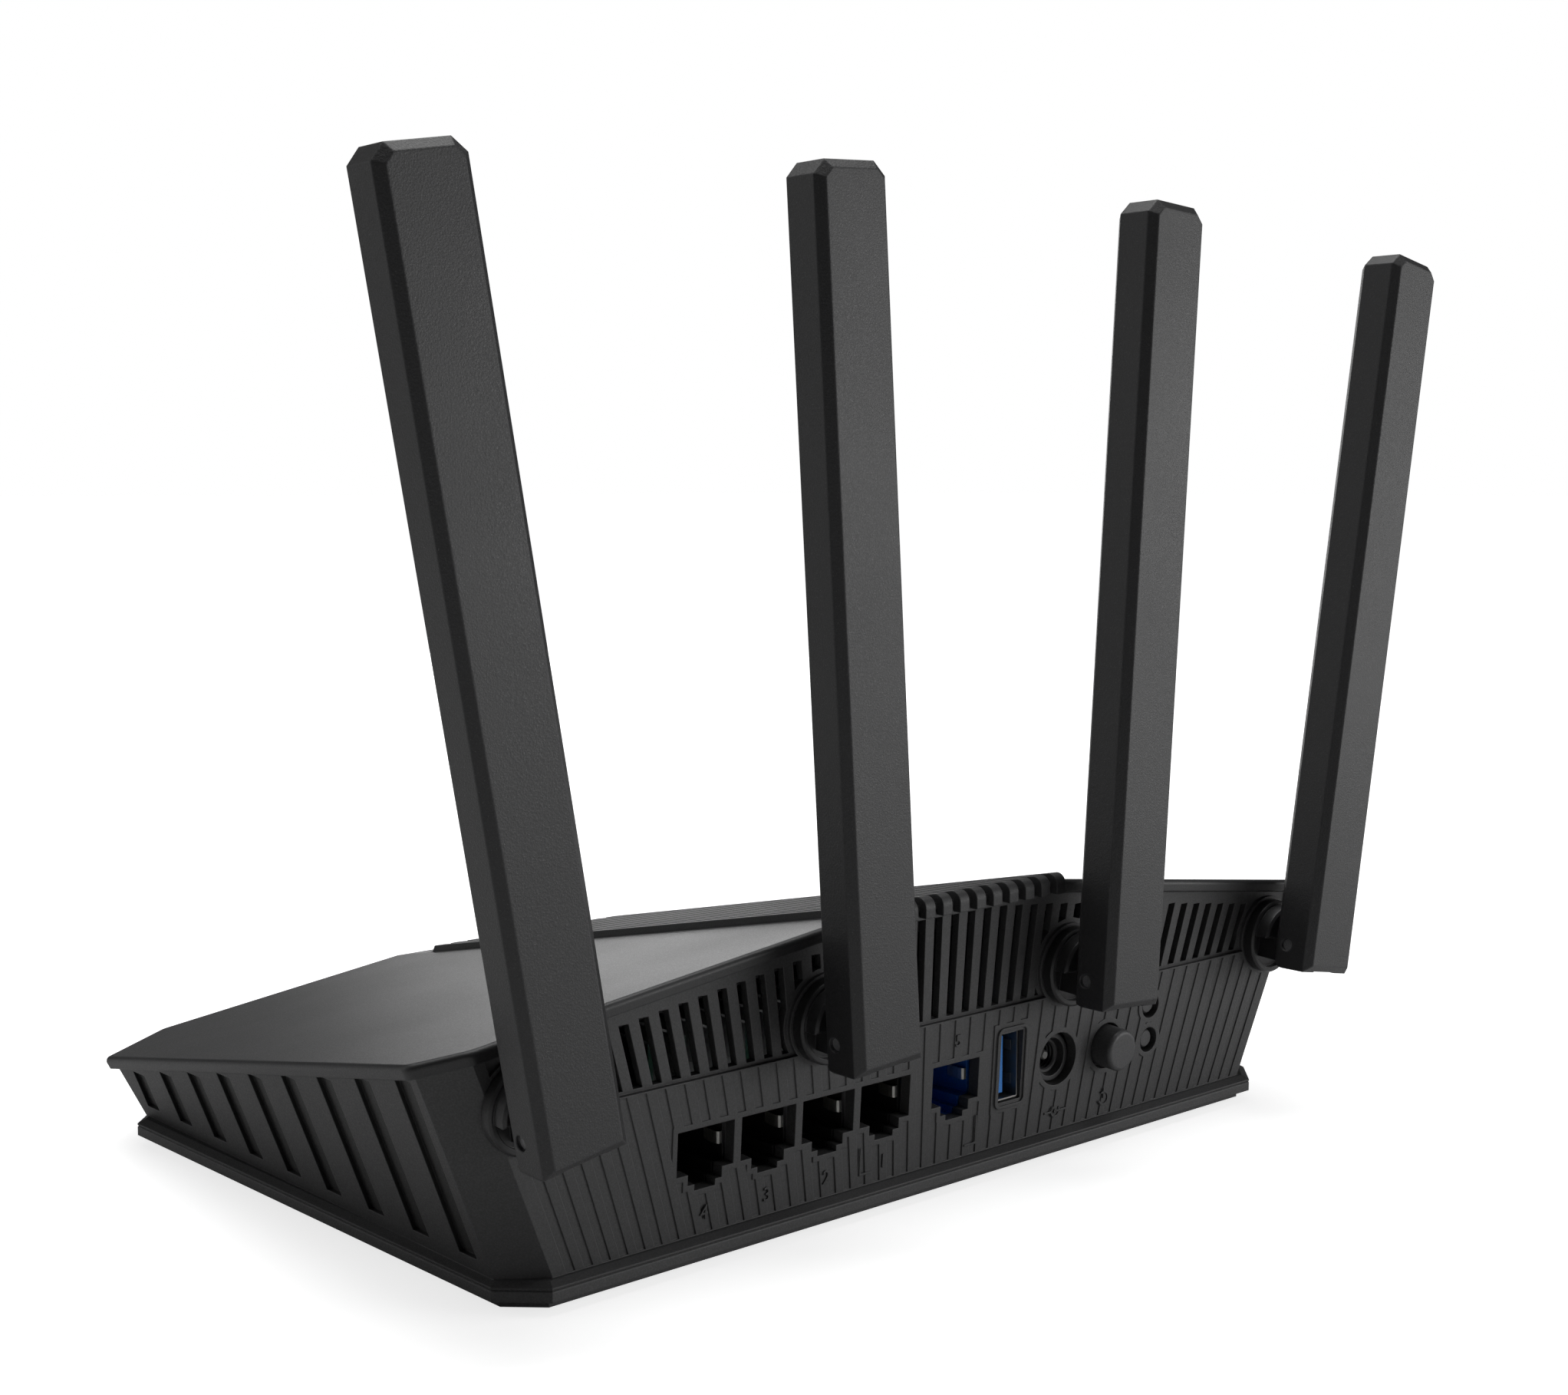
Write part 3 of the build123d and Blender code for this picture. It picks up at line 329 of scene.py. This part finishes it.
# Board screws: zinc-plated steel pan heads that hold the board to the tray's posts. They are drawn
# and turned before they are plated, which leaves fine lines in the metal.
def metal_sheet(name, colour, rough=0.35, line_size=700.0, stretch=(1.0, 1.0, 14.0)):
    """Metal in colour with fine lines of line_size to a metre, drawn out along the stretched axis."""
    metal = bpy.data.materials.new(name)
    metal.use_nodes = True
    tree = metal.node_tree
    skin = tree.nodes["Principled BSDF"]
    skin.inputs["Metallic"].default_value = 1.0
    place = tree.nodes.new("ShaderNodeTexCoord")
    drawn = tree.nodes.new("ShaderNodeMapping")
    drawn.inputs["Scale"].default_value = stretch
    lines = tree.nodes.new("ShaderNodeTexNoise")
    lines.inputs["Scale"].default_value = line_size
    lines.inputs["Detail"].default_value = 4.0
    tint = tree.nodes.new("ShaderNodeMix")
    tint.data_type = "RGBA"
    tint.inputs["A"].default_value = (*[c * 0.8 for c in colour], 1)
    tint.inputs["B"].default_value = (*[min(1.0, c * 1.1) for c in colour], 1)
    dull = tree.nodes.new("ShaderNodeMapRange")
    dull.inputs["To Min"].default_value = rough + 0.1
    dull.inputs["To Max"].default_value = rough - 0.1
    edge = tree.nodes.new("ShaderNodeGroup")
    edge.node_tree = edge_nodes
    edge.inputs["Radius"].default_value = 0.00008
    bump = tree.nodes.new("ShaderNodeBump")
    bump.inputs["Strength"].default_value = 0.4
    bump.inputs["Distance"].default_value = 0.00001
    wire = tree.links.new
    wire(place.outputs["Object"], drawn.inputs["Vector"])
    wire(drawn.outputs["Vector"], lines.inputs["Vector"])
    wire(lines.outputs["Fac"], tint.inputs["Factor"])
    wire(tint.outputs["Result"], skin.inputs["Base Color"])
    wire(lines.outputs["Fac"], dull.inputs["Value"])
    wire(dull.outputs["Result"], skin.inputs["Roughness"])
    wire(lines.outputs["Fac"], bump.inputs["Height"])
    wire(edge.outputs["Normal"], bump.inputs["Normal"])
    wire(bump.outputs["Normal"], skin.inputs["Normal"])
    return metal


zinc = metal_sheet("zinc_plate", (0.55, 0.55, 0.56), rough=0.38)
finish_with(zinc, "board_screws")

# Chips: three packages of black moulding resin soldered to the board. The resin is matt, with a
# fine even grain from its own mould.
chip_resin = moulded_plastic(
    "chip_resin", (0.022, 0.022, 0.023), rough=0.55, pit_size=5200.0, radius=0.0001
)
finish_with(chip_resin, "chips")

# Heatsink and cans: an extruded aluminium sink glued over the chips, drawn lines along its fins,
# and two tinned steel cans folded from sheet and soldered beside it.
sink_metal = metal_sheet("sink_aluminium", (0.62, 0.63, 0.64), rough=0.42, stretch=(1.0, 14.0, 1.0))
finish_with(sink_metal, "heatsink")
finish_with(metal_sheet("can_tin", (0.66, 0.66, 0.63), rough=0.3, stretch=(9.0, 1.0, 1.0)), "shield_cans")

# Sockets: a gang of four in black and a fifth in blue, moulded in glass-filled nylon and soldered to
# the board. They come off a polished mould, so they are smoother than the case.
def polished_plastic(name, colour, rough, radius):
    """Plastic in colour from a polished mould, with edges of radius."""
    return moulded_plastic(name, colour, rough=rough, pit_size=4200.0, pit_depth=0.00001, radius=radius)


finish_with(polished_plastic("socket_black", (0.014, 0.014, 0.015), 0.36, 0.00015), "lan_jack")
finish_with(polished_plastic("socket_blue", (0.010, 0.085, 0.360), 0.32, 0.00015), "wan_jack")

# Contacts: eight sprung wires in each socket, phosphor bronze under gold plate, let into its roof.
contact_gold = metal_sheet("contact_gold", (0.80, 0.53, 0.19), rough=0.25, stretch=(1.0, 8.0, 1.0))
finish_with(contact_gold, "lan_contacts", "wan_contacts")

# Side springs: a leaf of tinned bronze stands in each side of each socket to grip the plug's shield.
# Each is stamped, its lip folded square to the mouth and its blade bowed, and pressed into the wall.
spring_high, spring_thick, spring_lip = 0.0022, 0.0002, 0.0006
spring_mouth, spring_mid, spring_let_in = 0.0646, 0.0205, 0.0001
gang_left, gang_pitch, fifth_left = 0.0646, 0.01397, 0.00445
socket_lefts = [gang_left - gang_pitch * n for n in range(4)] + [fifth_left]
socket_wide = 0.01235


def placed(piece):
    """The piece's place, turn and scale go into its mesh."""
    bpy.ops.object.select_all(action="DESELECT")
    piece.select_set(True)
    bpy.context.view_layer.objects.active = piece
    bpy.ops.object.transform_apply(location=True, rotation=True, scale=True)
    return piece


def settled(piece, body):
    """The piece is placed, and it rides on the body."""
    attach(placed(piece), body)
    return piece


def faced_out():
    """In edit mode: all faces of the piece are turned outwards, and edit mode ends."""
    bpy.ops.mesh.select_all(action="SELECT")
    bpy.ops.mesh.normals_make_consistent(inside=False)
    bpy.ops.object.mode_set(mode="OBJECT")


def finished(piece):
    """Applies the piece's modifiers in their order."""
    bpy.context.view_layer.objects.active = piece
    for modifier in list(piece.modifiers):
        bpy.ops.object.modifier_apply(modifier=modifier.name)
    return piece


def joined(pieces, name):
    """The pieces as one mesh."""
    bpy.ops.object.select_all(action="DESELECT")
    for piece in pieces:
        piece.select_set(True)
    bpy.context.view_layer.objects.active = pieces[0]
    bpy.ops.object.join()
    pieces[0].name = name
    return pieces[0]


def bent_strip(name, high, thick, lip, steps):
    """A strip of sheet, high along Z: a lip along X, then the steps that it is bent through."""
    bpy.ops.object.select_all(action="DESELECT")
    bpy.ops.mesh.primitive_plane_add(size=1.0, rotation=(math.radians(90), 0, 0))
    piece = bpy.context.object
    piece.name = name
    piece.scale = (lip, high, 1)
    piece.location = (lip / 2, 0, 0)
    placed(piece)
    bpy.ops.object.mode_set(mode="EDIT")
    bpy.ops.mesh.select_all(action="DESELECT")
    bpy.ops.object.mode_set(mode="OBJECT")
    for corner in piece.data.vertices:
        corner.select = corner.co.x > lip / 2
    bpy.ops.object.mode_set(mode="EDIT")
    for along, inward in steps:
        bpy.ops.mesh.extrude_region_move(TRANSFORM_OT_translate={"value": (along, -inward, 0)})
    faced_out()
    sheet_metal = piece.modifiers.new("sheet", "SOLIDIFY")
    sheet_metal.thickness = thick
    sheet_metal.offset = 0
    eased = piece.modifiers.new("eased", "BEVEL")
    eased.width = thick * 0.3
    eased.segments = 2
    eased.limit_method = "ANGLE"
    return finished(piece)


def set_in_wall(piece, wall_x, side, deep, mid):
    """A copy of the piece against a wall at wall_x, its lip towards +X for side 1, else mirrored."""
    each = piece.copy()
    each.data = piece.data.copy()
    link(each)
    each.location = (wall_x, deep, mid)
    each.scale = (side, 1, 1)
    placed(each)
    bpy.ops.object.mode_set(mode="EDIT")
    faced_out()
    return each


spring_bow = [(0.0002, 0.0003), (0.0001, 0.0008), (-0.0001, 0.0014), (-0.0003, 0.0013), (-0.0004, 0.0009)]
first_spring = bent_strip("side_spring", spring_high, spring_thick, spring_lip, spring_bow)
spring_tin = metal_sheet("spring_tin", (0.62, 0.61, 0.58), rough=0.40, stretch=(1.0, 8.0, 1.0))
first_spring.data.materials.append(spring_tin)
springs = []
for left in socket_lefts:
    for side in (1, -1):
        wall_x = left - socket_wide / 2 - side * (socket_wide / 2 - spring_let_in)
        springs.append(set_in_wall(first_spring, wall_x, side, spring_mouth, spring_mid))
bpy.data.objects.remove(first_spring)
side_springs = settled(joined(springs, "side_springs"), "housing")
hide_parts("jack_springs")

# USB socket: a shell folded from nickel-plated steel stands on the board, and holds a blue tongue
# with the contacts on it. Two leaves cut out of each broad wall press on the plug.
usb_middle, usb_height = -0.0168, 0.0209
usb_room, usb_mouth = 0.0051, 0.0670
shell_nickel = metal_sheet("shell_nickel", (0.30, 0.29, 0.28), rough=0.42, stretch=(1.0, 10.0, 1.0))
finish_with(shell_nickel, "usb_shell")
tongue_blue = polished_plastic("tongue_blue", (0.020, 0.220, 0.680), 0.35, 0.0001)
finish_with(tongue_blue, "usb_tongue")
grip_high, grip_thick, grip_lip = 0.0021, 0.0002, 0.0001
grip_rise, grip_back, grip_behind = 0.0033, 0.0016, 0.0001
grip_bow = [(0.0003, 0.0012), (0.0003, 0.0016), (0.0, 0.0012), (-0.0003, 0.0010)]
first_grip = bent_strip("usb_grip", grip_high, grip_thick, grip_lip, grip_bow)
first_grip.data.materials.append(metal_sheet("grip_nickel", (0.12, 0.12, 0.12), rough=0.5))
grips = []
for side in (1, -1):
    for rise in (grip_rise, -grip_rise):
        wall_x = usb_middle - side * (usb_room / 2 + grip_behind)
        grips.append(set_in_wall(first_grip, wall_x, side, usb_mouth - grip_back, usb_height + rise))
bpy.data.objects.remove(first_grip)
usb_grips = settled(joined(grips, "usb_grips"), "housing")

tongue_face, tongue_front = -0.01681, 0.0651
broad_wide, broad_long, broad_back = 0.0010, 0.0070, 0.0004
narrow_wide, narrow_long, narrow_back, narrow_pitch = 0.0006, 0.0030, 0.0085, 0.0020
tooth_wide, tooth_long = 0.0009, 0.0022
contact_proud, tooth_proud, strip_ease = 0.00018, 0.0003, 0.00006


def raised_strip(wide, long, proud, rise, back, material):
    """A strip on the tongue's contact face: so wide and long, proud of it, its front end set back."""
    bpy.ops.object.select_all(action="DESELECT")
    bpy.ops.mesh.primitive_plane_add(size=1.0, rotation=(0, math.radians(-90), 0))
    strip = bpy.context.object
    strip.scale = (wide, long, 1)
    strip.location = (tongue_face, tongue_front - back - long / 2, usb_height + rise)
    placed(strip)
    bpy.ops.object.mode_set(mode="EDIT")
    bpy.ops.mesh.select_all(action="SELECT")
    bpy.ops.mesh.extrude_region_move(TRANSFORM_OT_translate={"value": (-proud, 0, 0)})
    faced_out()
    eased = strip.modifiers.new("eased", "BEVEL")
    eased.width = strip_ease
    strip.data.materials.append(material)
    return finished(strip)


# four broad contacts at the front, five narrow ones behind them, and the teeth of the tongue between
broad = [
    raised_strip(broad_wide, broad_long, contact_proud, rise, broad_back, contact_gold)
    for rise in (0.0035, 0.0012, -0.0012, -0.0035)
]
narrow = [
    raised_strip(narrow_wide, narrow_long, contact_proud, narrow_pitch * n, narrow_back, contact_gold)
    for n in range(-2, 3)
]
usb_contacts = settled(joined(broad + narrow, "usb_contacts"), "housing")
teeth = [
    raised_strip(tooth_wide, tooth_long, tooth_proud, rise, 0.0, tongue_blue)
    for rise in (0.0049, 0.0023, 0.0, -0.0023, -0.0049)
]
tongue_teeth = settled(joined(teeth, "tongue_teeth"), "housing")

# Power inlet: a black block on the board with a round mouth, a plated centre pin in it, and a
# ringed liner in the bore that the plug's barrel springs against.
inlet_middle, inlet_height, inlet_mouth = -0.0304, 0.0199, 0.0646
inlet_black = polished_plastic("inlet_black", (0.018, 0.018, 0.019), 0.38, 0.0002)
finish_with(inlet_black, "power_inlet")
# The pin's nickel gets a near-black colour, a painted shade for the dark inside of the bore.
pin_shaded_nickel = metal_sheet("pin_shaded_nickel", (0.14, 0.14, 0.135), rough=0.5)
finish_with(pin_shaded_nickel, "inlet_pin")
bore, ridge, ring_pitch, rings = 0.00284, 0.00030, 0.0009, 6
bpy.ops.object.select_all(action="DESELECT")
bpy.ops.mesh.primitive_circle_add(
    vertices=40,
    radius=bore,
    location=(inlet_middle, inlet_mouth, inlet_height),
    rotation=(math.radians(90), 0, 0),
)
liner = bpy.context.object
liner.name = "inlet_liner"
placed(liner)
bpy.ops.object.mode_set(mode="EDIT")
bpy.ops.mesh.select_all(action="SELECT")
depth = 0.0
for n in range(rings):
    # a ridge, its flat, and the slope back to the bore
    for deeper, wider in ((0.3, (bore - ridge) / bore), (0.3, 1.0), (0.4, bore / (bore - ridge))):
        depth += deeper * ring_pitch
        bpy.ops.mesh.extrude_region_move(TRANSFORM_OT_translate={"value": (0, -deeper * ring_pitch, 0)})
        bpy.ops.transform.resize(
            value=(wider, 1, wider), center_override=(inlet_middle, inlet_mouth - depth, inlet_height)
        )
bpy.ops.mesh.select_all(action="SELECT")
bpy.ops.mesh.normals_make_consistent(inside=True)
bpy.ops.object.mode_set(mode="OBJECT")
liner.data.materials.append(inlet_black)
settled(liner, "housing")

# Buttons: a proud power button and two small sunk ones, turned caps of black plastic on stems, and
# the plain switch bodies behind them.
button_black = moulded_plastic(
    "button_black", (0.060, 0.060, 0.062), rough=0.42, pit_depth=0.00002, radius=0.0002
)
finish_with(button_black, "power_button", "wps_button", "reset_button")
switch_black = moulded_plastic("switch_black", (0.020, 0.020, 0.021), rough=0.5, pit_size=4200.0)
finish_with(switch_black, "power_switch", "tact_switches")

# Body: the leaning walls, moulded in one piece with the fan of bands, the grille and the openings.
# The side vents are shallow sinks of the same mould, and their floors get a painted shade that makes them
# nearly black.
shell_black = moulded_plastic("shell_black", (0.046, 0.046, 0.047), rough=0.5, radius=0.00025)
finish_with(shell_black, "body_shell")
side_wall, side_wall_out = (0.9213, 0.0243, -0.3885), 0.08852
vent_deep, vent_reach, vent_painted_shade = 0.0008, 0.0600, (0.006, 0.006, 0.006)


def shade_side_vent_floors(plastic):
    """Paints shade on the side vents' floors: what lies sunk in the side walls, but no deeper than a vent.
    """
    tree = plastic.node_tree
    place = tree.nodes.new("ShaderNodeTexCoord")
    parts = tree.nodes.new("ShaderNodeSeparateXYZ")
    either_side = tree.nodes.new("ShaderNodeMath")
    either_side.operation = "ABSOLUTE"
    folded = tree.nodes.new("ShaderNodeCombineXYZ")
    reach = tree.nodes.new("ShaderNodeVectorMath")
    reach.operation = "DOT_PRODUCT"
    reach.inputs[1].default_value = side_wall
    sunk = tree.nodes.new("ShaderNodeMapRange")
    sunk.inputs["From Min"].default_value = side_wall_out - vent_deep * 0.05
    sunk.inputs["From Max"].default_value = side_wall_out - vent_deep * 0.15
    skin_deep = tree.nodes.new("ShaderNodeMath")
    skin_deep.operation = "GREATER_THAN"
    skin_deep.inputs[1].default_value = side_wall_out - vent_deep * 1.5
    along = tree.nodes.new("ShaderNodeMath")
    along.operation = "ABSOLUTE"
    between = tree.nodes.new("ShaderNodeMath")
    between.operation = "LESS_THAN"
    between.inputs[1].default_value = vent_reach
    near_wall = tree.nodes.new("ShaderNodeMath")
    near_wall.operation = "MULTIPLY"
    vent_shade_mask = tree.nodes.new("ShaderNodeMath")
    vent_shade_mask.operation = "MULTIPLY"
    # painted shade: the vents' sunk floors are mixed to near black
    shade_mix = tree.nodes.new("ShaderNodeMix")
    shade_mix.data_type = "RGBA"
    shade_mix.inputs["B"].default_value = (*vent_painted_shade, 1)
    skin = tree.nodes["Principled BSDF"]
    wire = tree.links.new
    wire(skin.inputs["Base Color"].links[0].from_socket, shade_mix.inputs["A"])
    wire(place.outputs["Object"], parts.inputs["Vector"])
    wire(parts.outputs["X"], either_side.inputs[0])
    wire(either_side.outputs[0], folded.inputs["X"])
    wire(parts.outputs["Y"], folded.inputs["Y"])
    wire(parts.outputs["Z"], folded.inputs["Z"])
    wire(folded.outputs["Vector"], reach.inputs[0])
    wire(reach.outputs["Value"], sunk.inputs["Value"])
    wire(reach.outputs["Value"], skin_deep.inputs[0])
    wire(parts.outputs["Y"], along.inputs[0])
    wire(along.outputs[0], between.inputs[0])
    wire(skin_deep.outputs[0], near_wall.inputs[0])
    wire(between.outputs[0], near_wall.inputs[1])
    wire(sunk.outputs["Result"], vent_shade_mask.inputs[0])
    wire(near_wall.outputs[0], vent_shade_mask.inputs[1])
    wire(vent_shade_mask.outputs[0], shade_mix.inputs["Factor"])
    wire(shade_mix.outputs["Result"], skin.inputs["Base Color"])


shade_side_vent_floors(shell_black)

# Marks: numbers, bracket lines and plain signs on the rear panel. They are the panel's own plastic,
# cut into its mould, so they stand a little proud of it.
panel_foot_y, panel_foot_z, panel_lean = 0.0669, 0.0053, 0.064
mark_proud, mark_line, mark_ease = 0.00022, 0.00042, 0.00006
mark_base, number_high, capital_share = 0.0081, 0.0026, 0.72
fifth_base, fifth_high = 0.0276, 0.0023
first_bracket, second_bracket = (0.0222, 0.0078), (-0.0078, 0.0076)
inlet_sign_base, power_middle, power_sign_base = 0.0093, -0.0449, 0.0091


def on_panel(x, z):
    """Place and turn of something that stands on the rear panel at x and height z."""
    steep = math.sqrt(1 + panel_lean**2)
    up = Vector((0, panel_lean, 1)) / steep
    normal = Vector((0, 1, -panel_lean)) / steep
    origin = Vector((x, panel_foot_y + panel_lean * (z - panel_foot_z), z))
    turn = Matrix(((-1, 0, 0), (up.x, up.y, up.z), normal[:])).transposed().to_4x4()
    return Matrix.Translation(origin) @ turn


def stand_on_panel(piece, x, z):
    """The piece's own place is applied, then it is set on the rear panel."""
    placed(piece)
    piece.matrix_world = on_panel(x, z)
    return placed(piece)


def number(text, x, z, high):
    """A plain number with eased edges."""
    bpy.ops.object.select_all(action="DESELECT")
    bpy.ops.object.text_add()
    made = bpy.context.object
    made.data.body = text
    made.data.size = high / capital_share
    made.data.align_x = "CENTER"
    made.data.extrude = mark_proud / 2
    made.data.bevel_depth = mark_ease
    made.data.bevel_resolution = 1
    made.data.offset = -mark_ease * 0.5
    made.location = (0, 0, mark_proud / 2)
    bpy.ops.object.convert(target="MESH")
    return stand_on_panel(bpy.context.object, x, z)


def ridge_line(points, x, z):
    """A straight-sided ridge of one width that runs through points on the panel."""
    bpy.ops.object.select_all(action="DESELECT")
    bpy.ops.mesh.primitive_plane_add(size=mark_line, location=(*points[0], 0))
    made = placed(bpy.context.object)
    half = mark_line / 2
    for start, end in zip(points, points[1:]):
        run = Vector((end[0] - start[0], end[1] - start[1], 0))
        ahead = run.normalized()
        front = Vector((*start, 0)).dot(ahead) + half
        bpy.ops.object.mode_set(mode="EDIT")
        bpy.ops.mesh.select_all(action="DESELECT")
        bpy.ops.object.mode_set(mode="OBJECT")
        for edge in made.data.edges:
            ends = [made.data.vertices[n].co for n in edge.vertices]
            near = all(abs(co.dot(ahead) - front) < 1e-6 for co in ends)
            edge.select = near and all((co - Vector((*start, 0))).length < mark_line for co in ends)
        bpy.ops.object.mode_set(mode="EDIT")
        bpy.ops.mesh.select_mode(type="EDGE")
        bpy.ops.mesh.extrude_region_move(TRANSFORM_OT_translate={"value": run - ahead * mark_line})
        bpy.ops.mesh.extrude_region_move(TRANSFORM_OT_translate={"value": ahead * mark_line})
        bpy.ops.mesh.select_mode(type="VERT")
        bpy.ops.object.mode_set(mode="OBJECT")
    return raised(made, x, z)


def raised(made, x, z):
    """A flat outline gets its height and eased edges, and stands on the panel."""
    thick = made.modifiers.new("thick", "SOLIDIFY")
    thick.thickness = mark_proud
    thick.offset = 1
    eased = made.modifiers.new("eased", "BEVEL")
    eased.width = mark_ease
    eased.limit_method = "ANGLE"
    finished(made)
    return stand_on_panel(made, x, z)


def ring_line(radius, start, sweep, x, z):
    """A ridge of one width that follows part of a circle, from start through sweep degrees."""
    bpy.ops.object.select_all(action="DESELECT")
    bpy.ops.mesh.primitive_plane_add(size=mark_line, location=(radius, mark_line / 2, 0))
    made = placed(bpy.context.object)
    # only the edge on the X axis is kept, and swept round
    for corner in made.data.vertices:
        corner.select = corner.co.y > mark_line / 2
    for line in [*made.data.edges, *made.data.polygons]:
        line.select = False
    bpy.ops.object.mode_set(mode="EDIT")
    bpy.ops.mesh.delete(type="VERT")
    bpy.ops.object.mode_set(mode="OBJECT")
    made.rotation_euler = (0, 0, math.radians(start))
    placed(made)
    bpy.ops.object.mode_set(mode="EDIT")
    bpy.ops.mesh.select_all(action="SELECT")
    bpy.ops.mesh.spin(steps=24, angle=math.radians(sweep), center=(0, 0, 0), axis=(0, 0, 1))
    bpy.ops.mesh.remove_doubles(threshold=0.00001)
    faced_out()
    if made.data.polygons[0].normal.z < 0:
        made.data.flip_normals()
    return raised(made, x, z)


marks = []
for count, left in zip(("4", "3", "2", "1"), socket_lefts):
    marks.append(number(count, left - socket_wide / 2, mark_base, number_high))
marks.append(number("5", fifth_left - socket_wide / 2, fifth_base, fifth_high))
# brackets that tie the fourth and fifth sockets together
marks.append(ridge_line([(0, 0.0048), (0, 0), (0.0026, 0)], *first_bracket))
marks.append(ridge_line([(0, 0.0052), (0, 0), (-0.0028, 0)], *second_bracket))
# sign under the power inlet: the barrel as an open ring, the pin as a dot, and a lead to each
marks.append(ring_line(0.0011, 40, 280, inlet_middle, inlet_sign_base))
marks.append(ring_line(0.00022, 0, 360, inlet_middle, inlet_sign_base))
marks.append(ridge_line([(-0.0030, 0), (-0.0013, 0)], inlet_middle, inlet_sign_base))
marks.append(ridge_line([(0.0002, 0), (0.0030, 0)], inlet_middle, inlet_sign_base))
# power sign under the power button
marks.append(ring_line(0.0013, 125, 290, power_middle, power_sign_base))
marks.append(ridge_line([(0, 0.0002), (0, 0.0018)], power_middle, power_sign_base))
panel_marks = joined(marks, "panel_marks")
panel_marks.data.materials.clear()
panel_marks.data.materials.append(
    moulded_plastic("mark_black", (0.045, 0.045, 0.046), rough=0.42, pit_depth=0.00001, radius=0.00006)
)
settled(panel_marks, "housing")

# Light guides: six rods of clear acrylic that carry the board's lights to the front wall. They are
# pressed into it, and their ends are frosted.
frosted = moulded_plastic(
    "frosted_clear",
    (0.62, 0.64, 0.66),
    rough=0.45,
    pit_size=5200.0,
    pit_depth=0.00002,
    radius=0.0001,
    edge_highlight=1.1,
)
frosted.node_tree.nodes["Principled BSDF"].inputs["Transmission Weight"].default_value = 0.5
finish_with(frosted, "light_guides")

# Roof: one moulding with a satin, finer grain than the walls, dropped over them on its skirt and
# pulled down by the screws through the tray.
lid_black = moulded_plastic(
    "lid_black",
    (0.022, 0.022, 0.023),
    rough=0.42,
    pit_size=4200.0,
    pit_depth=0.000025,
    radius=0.0004,
    edge_highlight=1.6,
)
finish_with(lid_black, "top_cover")

# Vent panel: twelve ribs on a plate clipped into the roof's sunk spine, their ends turned down over
# the rear edge. It is the same plastic from a coarser mould.
finish_with(moulded_plastic("rib_black", (0.022, 0.022, 0.023), rough=0.48, radius=0.00035), "vent_panel")

# Base screws: four zinc-plated steel screws with crossed heads. They are driven up through the tray
# into the roof's bosses and hold the case together.
finish_with(zinc, "base_screws")

# Aerial swivels: a disc with a hood and a knuckle, moulded in tougher plastic with a smoother skin,
# so that it turns easily. Its shaft snaps through the panel.
aerials = (1, 2, 3, 4)
hinge_black = moulded_plastic(
    "hinge_black", (0.022, 0.022, 0.023), rough=0.36, pit_depth=0.00001, radius=0.0003
)
finish_with(hinge_black, *[f"aerial_{n}_swivel" for n in aerials])

# Hinge pins: plain nylon rods pressed through the sleeve and the knuckle. Their cut ends are paler
# than the moulded skin round them.
pin_black = moulded_plastic("pin_black", (0.17, 0.17, 0.175), rough=0.45, pit_depth=0.00001, radius=0.0002)
finish_with(pin_black, *[f"aerial_{n}_pin" for n in aerials])

# Aerial sleeves: two moulded halves welded into a flat hollow bar with chamfered edges. Their mould
# has a fine, deep grain with painted glints on it, and a strong painted highlight along their edges.
aerial_black = moulded_plastic(
    "aerial_black",
    (0.022, 0.022, 0.023),
    rough=0.42,
    pit_size=5200.0,
    pit_depth=0.00007,
    radius=0.0005,
    edge_highlight=2.4,
    painted_glints=0.2,
)
finish_with(aerial_black, *[f"aerial_{n}_sleeve" for n in aerials])

# Aerial strips: thin laminate with the aerial itself on it in copper, under solder mask. Each slides
# into the side grooves of its sleeve before the halves are welded.
strip_green = solder_mask("strip_green", (0.02, 0.12, 0.06), (0.30, 0.16, 0.06))
finish_with(strip_green, *[f"aerial_{n}_strip" for n in aerials])
